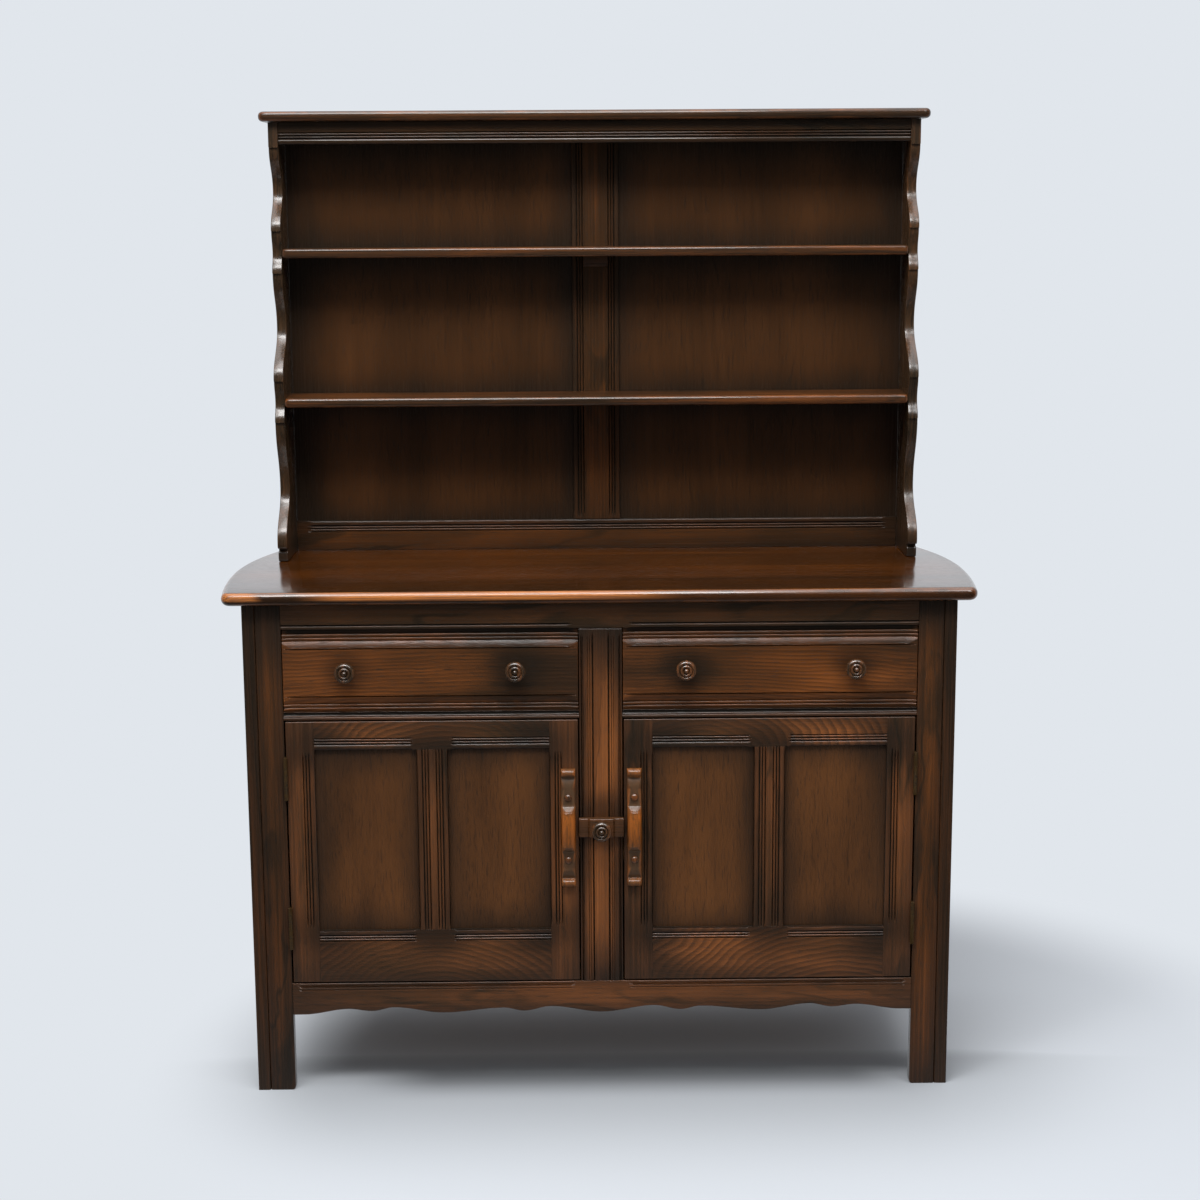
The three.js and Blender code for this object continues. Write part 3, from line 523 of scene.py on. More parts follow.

# Dark stain, painted shade and wear
BORDER_WANDER = 0.7  # of a border's width
BORDER_CORE = -0.25
DARK_SPOT_FLATTEN = 0.6
DARK_SPOT_CORE = 0.2  # of a dark spot's reach
DARK_SPOT_SHARE = 0.62
GRIP_WANDER = 0.02
GRIP_FADE = 0.003
GRIP_SHARE = 0.85
GRIP_ENDS = 0.5  # of that share stays at the ends of the grip
GRIP_SIDES = 0.5  # wear on the sides of a grip
# how far a surface faces up where painted shade darkens it
FACES_UP = (0.10, 0.45)
CORNERED = (0.04, 0.30)  # how far a surface turns between two axes where it begins to wear
PATCHES = (3.0, 0.6, 17.0)  # detail, roughness and scale of the worn patches
PATCH_SCALES = 5  # scales from there up, one apart, that boards take in turn
PATCH_SHARE = (0.38, 0.62)
ROUGH_SHARES = (0.12, 0.05, 0.12)  # of the fibre, the dark borders and the pores
CORNER_ROUGH = (0.02, 0.20, 0.0, 0.10)
BUMP_SHARES = (0.5, 0.6, 0.25)  # of the fibre, the pores and the lines
BUMP_HEIGHT = 0.0004
BUMP_STRENGTH = 0.35

# The front edge of the worktop, by how far its surface faces up and back
EDGE_STAINED = srgb(112, 70, 44)
EDGE_WORN = srgb(167, 101, 43)
EDGE_BAND = ((0.985, 0.94), (-0.35, 0.0), (-0.22, -0.05, 1.0, 0.15))
RIM_BAND = ((0.985, 0.96), (0.84, 0.92), (-0.22, -0.05, 0.5, 0.0))
RUBBED_SHARE = (0.36, 0.60)
WORN_WANDER = 0.16
WORN_START = (-0.50, -0.40)  # its bare stretch begins between these places
WORN_STOP = (0.0, 0.16)  # and ends between these
WORN_TIP = (-0.545, -0.572)  # its left tip is bare again
BARE_ROUGH = 0.1
BARE_COAT = 0.5  # share of the coat that is gone where it is bare


class Look:
    """How one kind of wood in the dresser looks."""

    def __init__(self, stops, **changes):
        self.stops = stops
        self.base = 0.5  # tone between the darkest and the lightest stop
        self.spacing = 0.011  # between growth rings
        self.detail = 1.5
        self.pith = 0.055  # of the log's heart behind the face
        self.tilt = 0.16  # of the log against the board
        self.sway = 0.05
        self.ripple = 0.010
        self.swirl = 0.0
        self.bands = 0.40
        self.line = 0.20
        self.fibre = 0.30
        self.mottle = 0.34
        self.pore = 0.20
        self.border = 0.62
        self.border_width = 0.03
        self.end_width = 0.11
        self.seams = ()  # heights of the shelves in front of a panel, along which it is darker: dark stain and painted shade of the shelves
        self.wear = 0.5
        self.rough = 0.23
        self.specular = 0.36
        self.coat = 0.0
        self.coat_rough = 0.13
        self.groove = 0.94
        self.valley = (0.0010, 0.0021)  # depths between which a moulding turns dark
        self.grime = 0.0  # painted shade on the slopes of a moulding that face up, which darkens them where the lamps light them most
        self.plank = 0.0  # width of the planks that a board is glued up from
        self.loops = 0.0  # between the nested arches of a wild figure
        self.arch = 0.6  # of an arch's height against its length
        self.worn_edge = 0.0
        self.held = ()  # distances from a grip's middle between which it turns dark
        self.smudges = ()  # x, z and reach of places with dark wood round them: dirt round knobs and latch, dark joints, and painted shade, as at the foot of a rack side
        for key, value in changes.items():
            setattr(self, key, value)

    def but(self, **changes):
        """The same wood with some values changed."""
        return Look(**{**self.__dict__, **changes})


def tones(*colours):
    return list(zip(TONE_PLACES, (srgb(*colour) for colour in colours)))


FRAME_TONES = tones((27, 22, 15), (54, 38, 23), (87, 53, 29), (119, 70, 35), (156, 92, 44))
DRAWER_TONES = tones((28, 22, 15), (54, 35, 20), (86, 49, 22), (118, 67, 29), (154, 89, 38))
PANEL_TONES = tones((42, 27, 15), (66, 41, 22), (93, 57, 28), (108, 66, 32), (128, 79, 37))
TOP_TONES = tones((33, 15, 2), (49, 24, 2), (69, 34, 3), (90, 47, 5), (114, 64, 14))
GRIP_TONES = tones((44, 33, 24), (92, 55, 24), (140, 76, 22), (170, 98, 30), (196, 126, 54))
LINING_TONES = tones((118, 88, 56), (146, 112, 74), (168, 132, 90), (184, 148, 104), (196, 162, 118))
CARCASS_TONES = tones((84, 58, 36), (108, 78, 50), (128, 94, 62), (146, 110, 76), (160, 124, 88))

FRAME = Look(
    FRAME_TONES, base=0.53, tilt=0.02, sway=0.016, spacing=0.007, pith=0.12, bands=0.20, mottle=0.34,
    wear=0.12)
DARK_FRAME = FRAME.but(stops=DRAWER_TONES, base=0.42, mottle=0.20, wear=0.06, specular=0.3)
LIGHT_FRAME = FRAME.but(base=0.60, mottle=0.30)
CENTRE_POST = LIGHT_FRAME.but(border_width=0.024, border=0.95, base=0.77, mottle=0.36)
RAIL = Look(
    FRAME_TONES, tilt=0.05, pith=0.03, sway=0.10, swirl=0.10, spacing=0.020, detail=0.4, bands=0.12,
    line=0.21, fibre=0.11, base=0.71, mottle=0.62, loops=0.0085, wear=0.2)
PLAIN_RAIL = FRAME.but(tilt=0.03, spacing=0.009, base=0.58, fibre=0.16)
# the top rail: darker stain, and painted shade under the worktop's overhang
DARK_RAIL = PLAIN_RAIL.but(base=0.39, specular=0.3)
# the frieze: darker wood, and painted shade under the top board's overhang
FRIEZE_RAIL = PLAIN_RAIL.but(
    stops=DRAWER_TONES, base=0.30, mottle=0.24, specular=0.1, coat=0.6, coat_rough=0.08)
DEEP_RAIL = PLAIN_RAIL.but(stops=DRAWER_TONES, base=0.38, mottle=0.2, specular=0.25)
RACK_POST = DARK_FRAME.but(base=0.35, specular=0.2)
DRAWER_RAIL = RAIL.but(
    stops=DRAWER_TONES, spacing=0.016, sway=0.05, swirl=0.05, line=0.12, base=0.53, border=0.30,
    loops=0.0060, arch=0.16, end_width=0.15, fibre=0.16, mottle=0.84, valley=(0.0058, 0.0070), groove=0.80,
    grime=0.50, wear=0.35, specular=0.26)
PANEL = Look(
    PANEL_TONES, pith=0.35, tilt=0.02, spacing=0.006, bands=0.08, line=0.03, fibre=0.05, pore=0.26,
    mottle=0.30, border=0.72, border_width=0.046, end_width=0.060, wear=0.0, base=0.425)
# the rack's back panels: a darker copy of the panels, painted shade for their recess behind the shelves
BACK_PANEL = PANEL.but(border=0.8, border_width=0.07, end_width=0.055, base=0.20, specular=0.2)
# dark stain along its borders, which at the back, under the rack, is also painted shade
WORKTOP = Look(
    TOP_TONES, pith=0.05, tilt=0.02, spacing=0.008, bands=0.35, line=0.10, border=0.52, border_width=0.085,
    end_width=0.05, wear=0.25, rough=0.22, specular=0.2, coat=0.9, plank=0.118, worn_edge=0.85)
SHELF = Look(
    DRAWER_TONES, tilt=0.02, bands=0.3, line=0.14, fibre=0.36, border=0.3, border_width=0.006, wear=0.3,
    rough=0.30, specular=0.12, base=0.42, coat=0.5, coat_rough=0.08)
TURNED = Look(
    FRAME_TONES, pith=0.012, tilt=0.1, spacing=0.004, border=0.0, wear=0.0, rough=0.22, specular=0.5,
    base=0.38, mottle=0.4, coat=0.75, coat_rough=0.09)
PEG = TURNED.but(stops=DRAWER_TONES, base=0.60)
PULL = TURNED.but(
    stops=GRIP_TONES, pith=0.02, tilt=0.05, spacing=0.008, bands=0.1, base=0.44, rough=0.30, wear=0.5,
    specular=0.2, coat=0.26, coat_rough=0.08, held=(0.020, 0.038))
LATCH = FRAME.but(base=0.52, border=0.3, border_width=0.01)
SIDE = FRAME.but(base=0.32, border_width=0.02, border=0.4, wear=0.06, rough=0.26, specular=0.4, coat=0.32)
LINING = Look(
    LINING_TONES, tilt=0.05, bands=0.3, line=0.12, border=0.15, wear=0.2, rough=0.62, specular=0.25,
    groove=0.2)
CARCASS = Look(
    CARCASS_TONES, pith=0.2, tilt=0.05, bands=0.3, line=0.12, border=0.2, wear=0.15, rough=0.66,
    specular=0.25, groove=0.2)

wood_numbers = itertools.count(1)


class Board(Finish):
    """The wood of one board. Its colour is built up in steps: the figure, then dark stain and painted shade,
    then wear.
    """

    def __init__(self, look, grain, low, high):
        self.seed = next(wood_numbers)
        super().__init__(bpy.data.materials.new(f"wood_{self.seed:02d}"))
        self.look, self.grain, self.low, self.high = look, grain, low, high
        self.size, self.middle = high - low, (low + high) / 2
        self.through = min((way for way in (X, Y, Z) if way != grain), key=lambda way: self.size[way])
        self.over = 3 - grain - self.through
        self.axes = self.split(self.node("TexCoord", output="Object"))
        self.normal = self.split(self.node("TexCoord", output="Normal"))
        self.along, self.across, self.behind = (self.axes[way] for way in (grain, self.over, self.through))
        self.shift = self.hidden = 0.0
        if look.plank:
            plank = ((self.across - low[self.over]) / look.plank).whole()
            self.along = self.along + plank * PLANK_SLIDE
            self.shift = plank.math("MODULO", plank * PLANK_STEP, 1.0) - 0.5

    def vary(self, pace):
        """A number between -1 and 1 that differs from board to board."""
        return math.sin(self.seed * pace)

    def streaks(self, kind):
        fine, long, detail, place = STREAKS[kind]
        across, behind, along = (self.seed * step for step in SEED_STEPS)
        return self.noise(self.join(
            self.across * fine + across + place, self.behind * fine + behind,
            self.along * long + along + place), detail)

    def cover(self, share, colour):
        """Lays another colour over the one so far."""
        self.colour = self.blend(share, self.colour, colour)

    def rings(self):
        """Growth rings, as noise in shells round the log's heart behind the board."""
        look, width = self.look, self.size[self.over]
        heart = self.middle[self.over] + width * HEART_ASIDE * self.vary(ASIDE_PACE)
        sway = self.streaks("sway") - 0.5
        aside = self.across - heart + sway * look.sway + self.shift * PLANK_ASIDE + self.swirl
        lift = look.pith + HEART_LIFT * self.vary(LIFT_PACE)
        tilt = look.tilt * math.copysign(1, self.vary(TILT_PACE))
        deep = (self.behind - self.low[self.through]) + lift + (self.along - self.low[self.grain]) * tilt
        radius = (aside * aside + deep * deep).root() + self.ripple * look.ripple
        drift_along, drift_across = RING_DRIFT
        place = self.join(
            radius / look.spacing, self.along * drift_along, self.across * drift_across + self.seed)
        return self.noise(place, look.detail)

    def arches(self):
        """Nested arches of a wild figure, which darken slowly and end at a sharp line."""
        apex = self.middle[self.grain] + self.size[self.grain] * ARCH_ASIDE * self.vary(ARCH_PACE)
        beside = (self.along - apex) * self.look.arch
        above = self.across - self.low[self.over] + self.size[self.over] * ARCH_FOOT
        reach = (beside * beside + above * above).root() + self.swirl * ARCH_SWIRL + self.ripple * ARCH_RIPPLE
        nest = (reach / self.look.loops).fraction()
        strength = (self.mottle + 0.5).rise(*ARCH_STRENGTH)
        return nest.rise(*ARCH_DARKENS) * nest.rise(*ARCH_ENDS, 1.0, 0.0) * strength

    def draw_figure(self):
        look = self.look
        self.mottle, self.fibre, self.ripple = (
            self.streaks(kind) - 0.5 for kind in ("mottle", "fibre", "ripple"))
        self.swirl = (self.streaks("swirl") - 0.5) * look.swirl if look.swirl else 0.0
        self.pores = self.streaks("pores").rise(*PORE_SHARE)
        rings = self.rings()
        breaks = self.streaks("breaks").rise(*LINE_BREAKS)
        self.line = abs(rings - 0.5).rise(0.0, RING_LINE, 1.0, 0.0) * breaks
        if look.loops:
            self.line = self.line * ARCH_LINES + self.arches()
        tone = (
            look.base + self.mottle * look.mottle * 2 + self.fibre * look.fibre * 2
            + (rings - 0.5) * look.bands * 2 - self.line * look.line - self.pores * look.pore
            + self.shift * PLANK_TONE)
        self.colour = self.node("ValToRGB", {"stops": look.stops}, {0: tone})

    def border(self, way, width, seams=()):
        """1 at the board's two edges across an axis and behind the seams, and 0 further than a width away."""
        axis = self.axes[way]
        away = abs(axis - self.low[way]).least(abs(axis - self.high[way]))
        for seam in seams:
            away = away.least(abs(axis - seam) + (self.axes[Y] - self.low[Y]).rise(*SEAM_DEPTH))
        return (away + self.mottle * width * BORDER_WANDER).rise(BORDER_CORE * width, width, 1.0, 0.0)

    def shade_borders(self):
        look = self.look
        ends = self.border(self.grain, look.end_width, look.seams)
        sides = self.border(self.over, look.border_width)
        self.shade = 1 - (1 - ends) * (1 - sides)
        self.cover(self.shade * look.border, STAIN_AND_SHADE)

    def fill_valleys(self):
        """Stain that has gathered in the valleys of the mouldings."""
        sunk = self.axes[Y] - self.low[Y]
        self.hidden = sunk.rise(*self.look.valley) * sunk.rise(*MOULD_DEPTH, 1.0, 0.0)
        self.cover(self.hidden * self.look.groove, STAIN_AND_SHADE)

    # dark wood round given places: dirt, dark joints, and painted shade where a spot stands for shade
    def smudge(self):
        for x, z, reach in self.look.smudges:
            aside, above = self.axes[X] - x, self.axes[Z] - z
            away = (aside * aside * DARK_SPOT_FLATTEN + above * above).root() + self.mottle * reach
            self.cover(away.rise(reach * DARK_SPOT_CORE, reach, DARK_SPOT_SHARE, 0.0), STAIN_AND_SHADE)

    def darken_grip(self):
        """Dark wood on both sides of the middle of a grip, where hands don't rub it."""
        away = abs(self.along - self.middle[self.grain] + self.mottle * GRIP_WANDER)
        end = self.size[self.grain] / 2 - PULL_BEAD
        held = away.rise(*self.look.held) * away.rise(end - GRIP_FADE, end, 1.0, GRIP_ENDS)
        self.cover(held * GRIP_SHARE, HANDLED)

    def wear_edges(self, fronted):
        look = self.look
        facing = [abs(part) for part in self.normal]
        turned = facing[X] * GRIP_SIDES if look.held else 1 - facing[X].most(facing[Y]).most(facing[Z])
        detail, roughness, scale = PATCHES
        patches = self.noise(self.join(*self.axes), detail, roughness, scale + self.seed % PATCH_SCALES)
        self.cover(
            turned.rise(*CORNERED) * patches.rise(*PATCH_SHARE) * (1 - self.hidden) * look.wear, WORN)
        fibre, shade, pores = ROUGH_SHARES
        self.rough = look.rough + self.fibre * fibre + self.shade * shade + self.pores * pores
        if fronted:
            self.rough = self.rough + turned.rise(*CORNER_ROUGH)

    def band(self, top, foot, front):
        """A band of the front edge, by how far its surface faces up and back."""
        _, back, up = self.normal
        return up.rise(*top) * up.rise(*foot) * back.rise(*front)

    def wear_front(self):
        """The rounded front edge of the worktop: rubbed bare on the left, and thin along its upper rim."""
        along = self.axes[X] + self.mottle * WORN_WANDER
        span = along.rise(*WORN_START) * along.rise(*WORN_STOP, 1.0, 0.0)
        bare = self.band(*EDGE_BAND) * span.most(along.rise(*WORN_TIP))
        rubbed = self.blend(self.streaks("rubbed").rise(*RUBBED_SHARE), EDGE_STAINED, EDGE_WORN)
        self.cover(bare.most(self.band(*RIM_BAND)) * self.look.worn_edge, rubbed)
        self.rough = self.rough + bare * BARE_ROUGH
        self.coat = (1 - bare * BARE_COAT) * self.look.coat

    def finished(self):
        look = self.look
        fibre, pores, line = BUMP_SHARES
        bump = self.node("Bump", values={
            "Strength": BUMP_STRENGTH, "Distance": BUMP_HEIGHT,
            "Height": self.fibre * fibre - self.pores * pores - self.line * line})
        return self.finish_with(
            Base_Color=self.colour, Roughness=self.rough, Normal=bump, Specular_Ior_Level=look.specular,
            Coat_Weight=self.coat, Coat_Roughness=look.coat_rough, Coat_Tint=COAT_TINT)


def wood(look, grain, low, high, fronted=False):
    """Stained wood for one board, whose grain runs along an axis. A fronted board has mouldings."""
    board = Board(look, grain, low, high)
    board.coat = look.coat
    board.draw_figure()
    board.shade_borders()
    if fronted:
        board.fill_valleys()
    board.smudge()
    if look.held:
        board.darken_grip()
    # painted shade: slopes that face up are darkened against the light that falls on them
    if look.grime:
        board.cover(board.normal[Z].rise(*FACES_UP) * look.grime, STAIN_AND_SHADE)
    board.wear_edges(fronted)
    if look.worn_edge:
        board.wear_front()
    return board.finished()


# Brass of the hinges

BRASS_CLEAN = srgb(112, 86, 52)
BRASS_DULL = srgb(44, 34, 24)
BRASS_SPOTS = (4.0, 0.6, 260.0)  # detail, roughness and scale
BRASS_CLOUD = (2.0, 0.5, 45.0)
BRASS_SHARE = 0.6  # of the spots and of the cloud
BRASS_DULLS = (0.45, 0.8)  # their sum where brass turns dull
BRASS_METAL = (0.95, -0.4)  # of clean brass, and its change where it is dull
BRASS_ROUGH = (0.34, 0.3)
BRASS_BUMP = {"Strength": 0.3, "Distance": 0.0002}


def brass():
    finish = new_finish("dull_brass")
    point = finish.node("TexCoord", output="Object")
    spots, cloud = (finish.noise(point, *kind) for kind in (BRASS_SPOTS, BRASS_CLOUD))
    dull = (spots * BRASS_SHARE + cloud * BRASS_SHARE).rise(*BRASS_DULLS)
    metal, rough = (clean + dull * change for clean, change in (BRASS_METAL, BRASS_ROUGH))
    bump = finish.node("Bump", values={**BRASS_BUMP, "Height": spots})
    colour = finish.blend(dull, BRASS_CLEAN, BRASS_DULL)
    return finish.finish_with(Base_Color=colour, Metallic=metal, Roughness=rough, Normal=bump)


# Finishes on pieces

EASED_STEPS = 2
EASED_ANGLE = math.radians(50)


def dress(node, material, radius=0.0):
    """Gives a CAD node its finish, with its edges eased by a modifier."""
    piece = frame["nodes"][node]
    piece.data.materials.clear()
    piece.data.materials.append(material)
    if radius:
        weld = piece.modifiers.new("weld", "WELD")
        weld.merge_threshold = CLOSEST
        ease = piece.modifiers.new("ease", "BEVEL")
        ease.width, ease.segments = radius, EASED_STEPS
        ease.limit_method, ease.angle_limit = "ANGLE", EASED_ANGLE


def plain_board(node, look, grain, radius=0.0):
    """Gives a CAD node its wood."""
    dress(node, wood(look, grain, *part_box(node)), radius)


def moulded_board(name, node, look, run, corners, cuts, eases):
    """Shows a board with mouldings in its front. Its grain follows them."""
    show(name, relief(*corners, run, cuts, eases), node, wood(look, run, *corners, True))


def centre(node):
    return sum(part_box(node), Vector()) / 2


# Base

WORKTOP_BOW = 0.012
WORKTOP_FRONT_CORNER = 0.019
WORKTOP_WIDEST = -0.020
WORKTOP_TURN = 0.125  # where its ends turn towards the back
WORKTOP_BACK_HALF = 0.556
WORKTOP_ROUND = 0.0100
WORKTOP_ROUND_STEPS = 7
CURVE_STEPS = 14
LIP_STOP = 0.024  # of the top rail's lip from the muntin
POST_STOP = 0.022  # of the muntin's reeds from its upper end
POST_HEAD = 0.003  # rounding of the muntin's upper end
POST_CHAMFER = 0.0030
FOOT_ROUND = 0.006
# reach over which a stile darkens towards its top
STILE_TOP_DARKENING = 0.15
STILE_TONE = 0.045  # by which the left stile is lighter than the middle tone and the right one darker
LATCH_SMUDGE = (0.02, 0.06)  # height above the latch, and reach
# reach over which the muntin darkens towards its top
POST_TOP_DARKENING = 0.44


def worktop():
    low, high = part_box("worktop")
    shoulder = high.x - WORKTOP_BOW
    front, back = low.y, high.y
    first = front + WORKTOP_FRONT_CORNER
    widest = Vector((high.x, WORKTOP_WIDEST))
    end = Vector((WORKTOP_BACK_HALF, back + WORKTOP_ROUND))
    right = [Vector((shoulder - WORKTOP_FRONT_CORNER, front))]
    right += bend(right[-1], Vector((shoulder, front)), Vector((shoulder, first)), CURVE_STEPS)
    right += bend(right[-1], Vector((high.x, (first + widest.y) / 2)), widest, CURVE_STEPS)
    right += bend(widest, Vector((high.x, WORKTOP_TURN)), end, 2 * CURVE_STEPS)
    bm = plate(mirrored(right), Z, low.z, high.z)
    bevel(bm, rim_edges(bm, Z), WORKTOP_ROUND, WORKTOP_ROUND_STEPS)
    cut_off_behind(bm, back)
    show("worktop_board", bm, "worktop", wood(WORKTOP, X, low, high))


def front_rails():
    post_low, post_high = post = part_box("front_muntin")
    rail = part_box("front_top_rail")
    stop = post_high.x + LIP_STOP
    cuts = [Moulding(LIP_MOULD, rail[0].z, 1, None, -stop), Moulding(LIP_MOULD, rail[0].z, 1, stop, None)]
    moulded_board("top_rail", "front_top_rail", DARK_RAIL, X, rail, cuts, (CLOSE, ARRIS, JOINT, JOINT))
    cuts = both_sides(POST_MOULD, post_low.x, post_high.x, None, post_high.z - POST_STOP)
    latch_at, (above, reach) = centre("latch_knob"), LATCH_SMUDGE
    look = CENTRE_POST.but(
        smudges=[(latch_at.x, latch_at.z + above, reach), (latch_at.x, post_high.z, POST_TOP_DARKENING)])
    moulded_board("centre_muntin", "front_muntin", look, Z, post, cuts, (CLOSE, CLOSE, JOINT, POST_HEAD))
    for side, _ in SIDES:
        node = side + "_drawer_rail"
        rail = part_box(node)
        cuts = [Moulding(RAIL_MOULD, rail[0].z, 1)]
        moulded_board(side + "_moulded_rail", node, PLAIN_RAIL, X, rail, cuts, (JOINT,) * 4)


SCALLOP_RISE = 0.011
# The lower edge of the bottom rail from its middle outwards: shares of the half length and of the rise.
SCALLOP_SHARES = [
    (0, 0), (0.167, 0.95), (0.254, 0.27), (0.318, 0.78), (0.513, 0.1),
    (0.674, 1), (0.745, 0.45), (0.82, 0.82), (0.965, 0.02), (1, 0)]
SCALLOP_STEPS = 10
SILL_FADE = 0.020
SILL_EDGE = 0.0012


def scallop(distance, half):
    share = distance / half
    for (start, low), (end, high) in zip(SCALLOP_SHARES, SCALLOP_SHARES[1:]):
        if share <= end:
            way = (share - start) / (end - start)
            return SCALLOP_RISE * (low + (high - low) * (1 - math.cos(math.pi * way)) / 2)
    return 0.0


def bottom_rail():
    low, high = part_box("front_bottom_rail")
    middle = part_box("front_muntin")[1].x + SILL_FADE
    half = high.x
    cuts = [
        Moulding(SILL_MOULD, high.z, -1, low.x + SILL_FADE, -middle),
        Moulding(SILL_MOULD, high.z, -1, middle, high.x - SILL_FADE)]
    turns = [share for share, _ in SCALLOP_SHARES]
    marks = [
        (start + (end - start) * step / SCALLOP_STEPS) * half
        for start, end in zip(turns, turns[1:]) for step in range(SCALLOP_STEPS)]
    eases = (ARRIS, SILL_EDGE, JOINT, JOINT)
    bm = relief(low, high, X, cuts, eases, marks + [-mark for mark in marks])
    fixed = high.z - SILL_MOULD[-1][0]
    for vert in bm.verts:
        share = min(max((fixed - vert.co.z) / (fixed - low.z), 0), 1)
        vert.co.z += scallop(abs(vert.co.x), half) * share
    show("scalloped_rail", bm, "front_bottom_rail", wood(PLAIN_RAIL, X, low, high, True))


def edge_test(run, at, off=()):
    """A test for edges along an axis, at some places and off others, each given as an axis and a value."""
    def test(middle, way):
        return (
            abs(way[run]) > STRAIGHT and all(abs(middle[axis] - place) < CLOSEST for axis, place in at)
            and all(abs(middle[axis] - place) > ARRIS for axis, place in off))
    return test


def front_stiles():
    for side, sign in SIDES:
        node = f"front_{side}_stile"
        low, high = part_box(node)
        outer = low.x if sign < 0 else high.x
        wider = [
            (edge_test(Z, [(X, outer), (Y, low.y)]), POST_CHAMFER),
            (edge_test(Y, [(Z, low.z)], [(X, outer)]), FOOT_ROUND)]
        look = DARK_FRAME.but(
            base=DARK_FRAME.base - sign * STILE_TONE, smudges=[((low.x + high.x) / 2, high.z, STILE_TOP_DARKENING)])
        show(side + "_stile", block(low, high, SLIGHT, wider), node, wood(look, Z, low, high))


LEG_DEPTH = 0.045
LEG_EDGE = 0.0010
LEG_CORNER = 0.0026
END_TOP_RAIL = 0.062
END_BOTTOM_RAIL = 0.072


def end_frames():
    rail_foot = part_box("base_back_panel")[0].z
    for side, sign in SIDES:
        node = side + "_end_frame"
        low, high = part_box(node)
        inner = high.x if sign < 0 else low.x
        foot = (edge_test(X, [(Z, low.z)]), FOOT_ROUND)
        groove_edge = (edge_test(Z, [(X, inner), (Y, low.y)]), POST_CHAMFER)
        corner_edge = (edge_test(Z, [(Y, low.y)], [(X, inner)]), LEG_CORNER)
        front, back = (low.y, low.y + LEG_DEPTH), (high.y - LEG_DEPTH, high.y)
        for word, (near, far), wider in (
                ("front", front, [groove_edge, corner_edge, foot]), ("back", back, [foot])):
            leg = Vector((low.x, near, low.z)), Vector((high.x, far, high.z))
            show(f"{side}_{word}_leg", block(*leg, LEG_EDGE, wider), node, wood(DARK_FRAME, Z, *leg))
        upper, lower = (high.z - END_TOP_RAIL, high.z), (rail_foot, rail_foot + END_BOTTOM_RAIL)
        for word, (bottom, top) in (("upper", upper), ("lower", lower)):
            rail = Vector((low.x, front[1], bottom)), Vector((high.x, back[0], top))
            show(f"{side}_end_{word}_rail", block(*rail, SLIGHT), node, wood(PLAIN_RAIL, Y, *rail))
        plain_board(side + "_end_panel", PANEL, Z)


def carcass_boards():
    for node in ("base_back_panel", "bottom_board", "cupboard_shelf", "drawer_runner_frame"):
        plain_board(node, CARCASS, X, SLIGHT)


# Turned knobs: radius and reach from the wood outwards, as shares

KNOB_SHARES = [
    (0, -0.2), (0.55, -0.2), (0.56, 0), (0.60, 0.05), (0.57, 0.14), (0.50, 0.22), (0.48, 0.30), (0.54, 0.38),
    (0.72, 0.44), (0.90, 0.49), (0.975, 0.55), (1.0, 0.63), (0.985, 0.72), (0.94, 0.79), (0.87, 0.845),
    (0.79, 0.875), (0.715, 0.87), (0.66, 0.84), (0.63, 0.80), (0.60, 0.80), (0.575, 0.84), (0.53, 0.895),
    (0.46, 0.925), (0.39, 0.915), (0.33, 0.87), (0.30, 0.82), (0.27, 0.81), (0.245, 0.84), (0.22, 0.90),
    (0.17, 0.96), (0.09, 0.992), (0, 1.0)]
KNOB_SIDES = 56
KNOB_SMUDGE = 0.046


def knob(name, node, carrier):
    """A turned knob on the front of the piece that carries it."""
    low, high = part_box(node)
    radius = (high.x - low.x) / 2
    wood_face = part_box(carrier)[0].y
    foot = Vector(((low.x + high.x) / 2, wood_face, (low.z + high.z) / 2))
    profile = [(share * radius, out * (wood_face - low.y)) for share, out in KNOB_SHARES]
    show(name, turn_profile(profile, foot, KNOB_SIDES), node, wood(TURNED, Z, low, high), TURNED_ANGLE)


# Drawers

DRAWER_STOP = 0.022
DRAWER_SWING = 0.060
DRAWER_END = 0.0012
LINING_EDGE = 0.0005


def drawers():
    for side, _ in SIDES:
        label = side + "_drawer_"
        low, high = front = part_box(label + "front")
        ends = low.x + DRAWER_STOP, high.x - DRAWER_STOP, DRAWER_SWING
        cuts = [Moulding(DRAWER_TOP_MOULD, high.z, -1, *ends), Moulding(DRAWER_MOULD, low.z, 1, *ends)]
        centres = [centre(f"{label}{hand}_knob") for hand, _ in SIDES]
        look = DRAWER_RAIL.but(smudges=[(place.x, place.z, KNOB_SMUDGE) for place in centres])
        eases = (CLOSE, CLOSE, DRAWER_END, DRAWER_END)
        moulded_board(label + "face", label + "front", look, X, front, cuts, eases)
        for hand, _ in SIDES:
            knob(f"{label}turned_{hand}_knob", f"{label}{hand}_knob", label + "front")
            plain_board(f"{label}{hand}_side", LINING, Y, SLIGHT)
        for word in ("back", "bottom"):
            plain_board(label + word, LINING, X, LINING_EDGE)


# Doors

DOOR_STILES = {"left": (0.045, 0.046), "right": (0.046, 0.045)}  # widths of a door's left and right stile
DOOR_MUNTIN = 0.050
DOOR_TOP_RAIL = 0.047
DOOR_BOTTOM_RAIL = 0.088
STILE_STOP = 0.020  # of a stile's moulding from the rails
RAIL_STOP = 0.012  # of the rails' mouldings from the muntin, and of the muntin's from the rails
DOOR_SMUDGE = 0.062
PANEL_TONGUE = 0.007
LEAF_EDGE = 0.0003


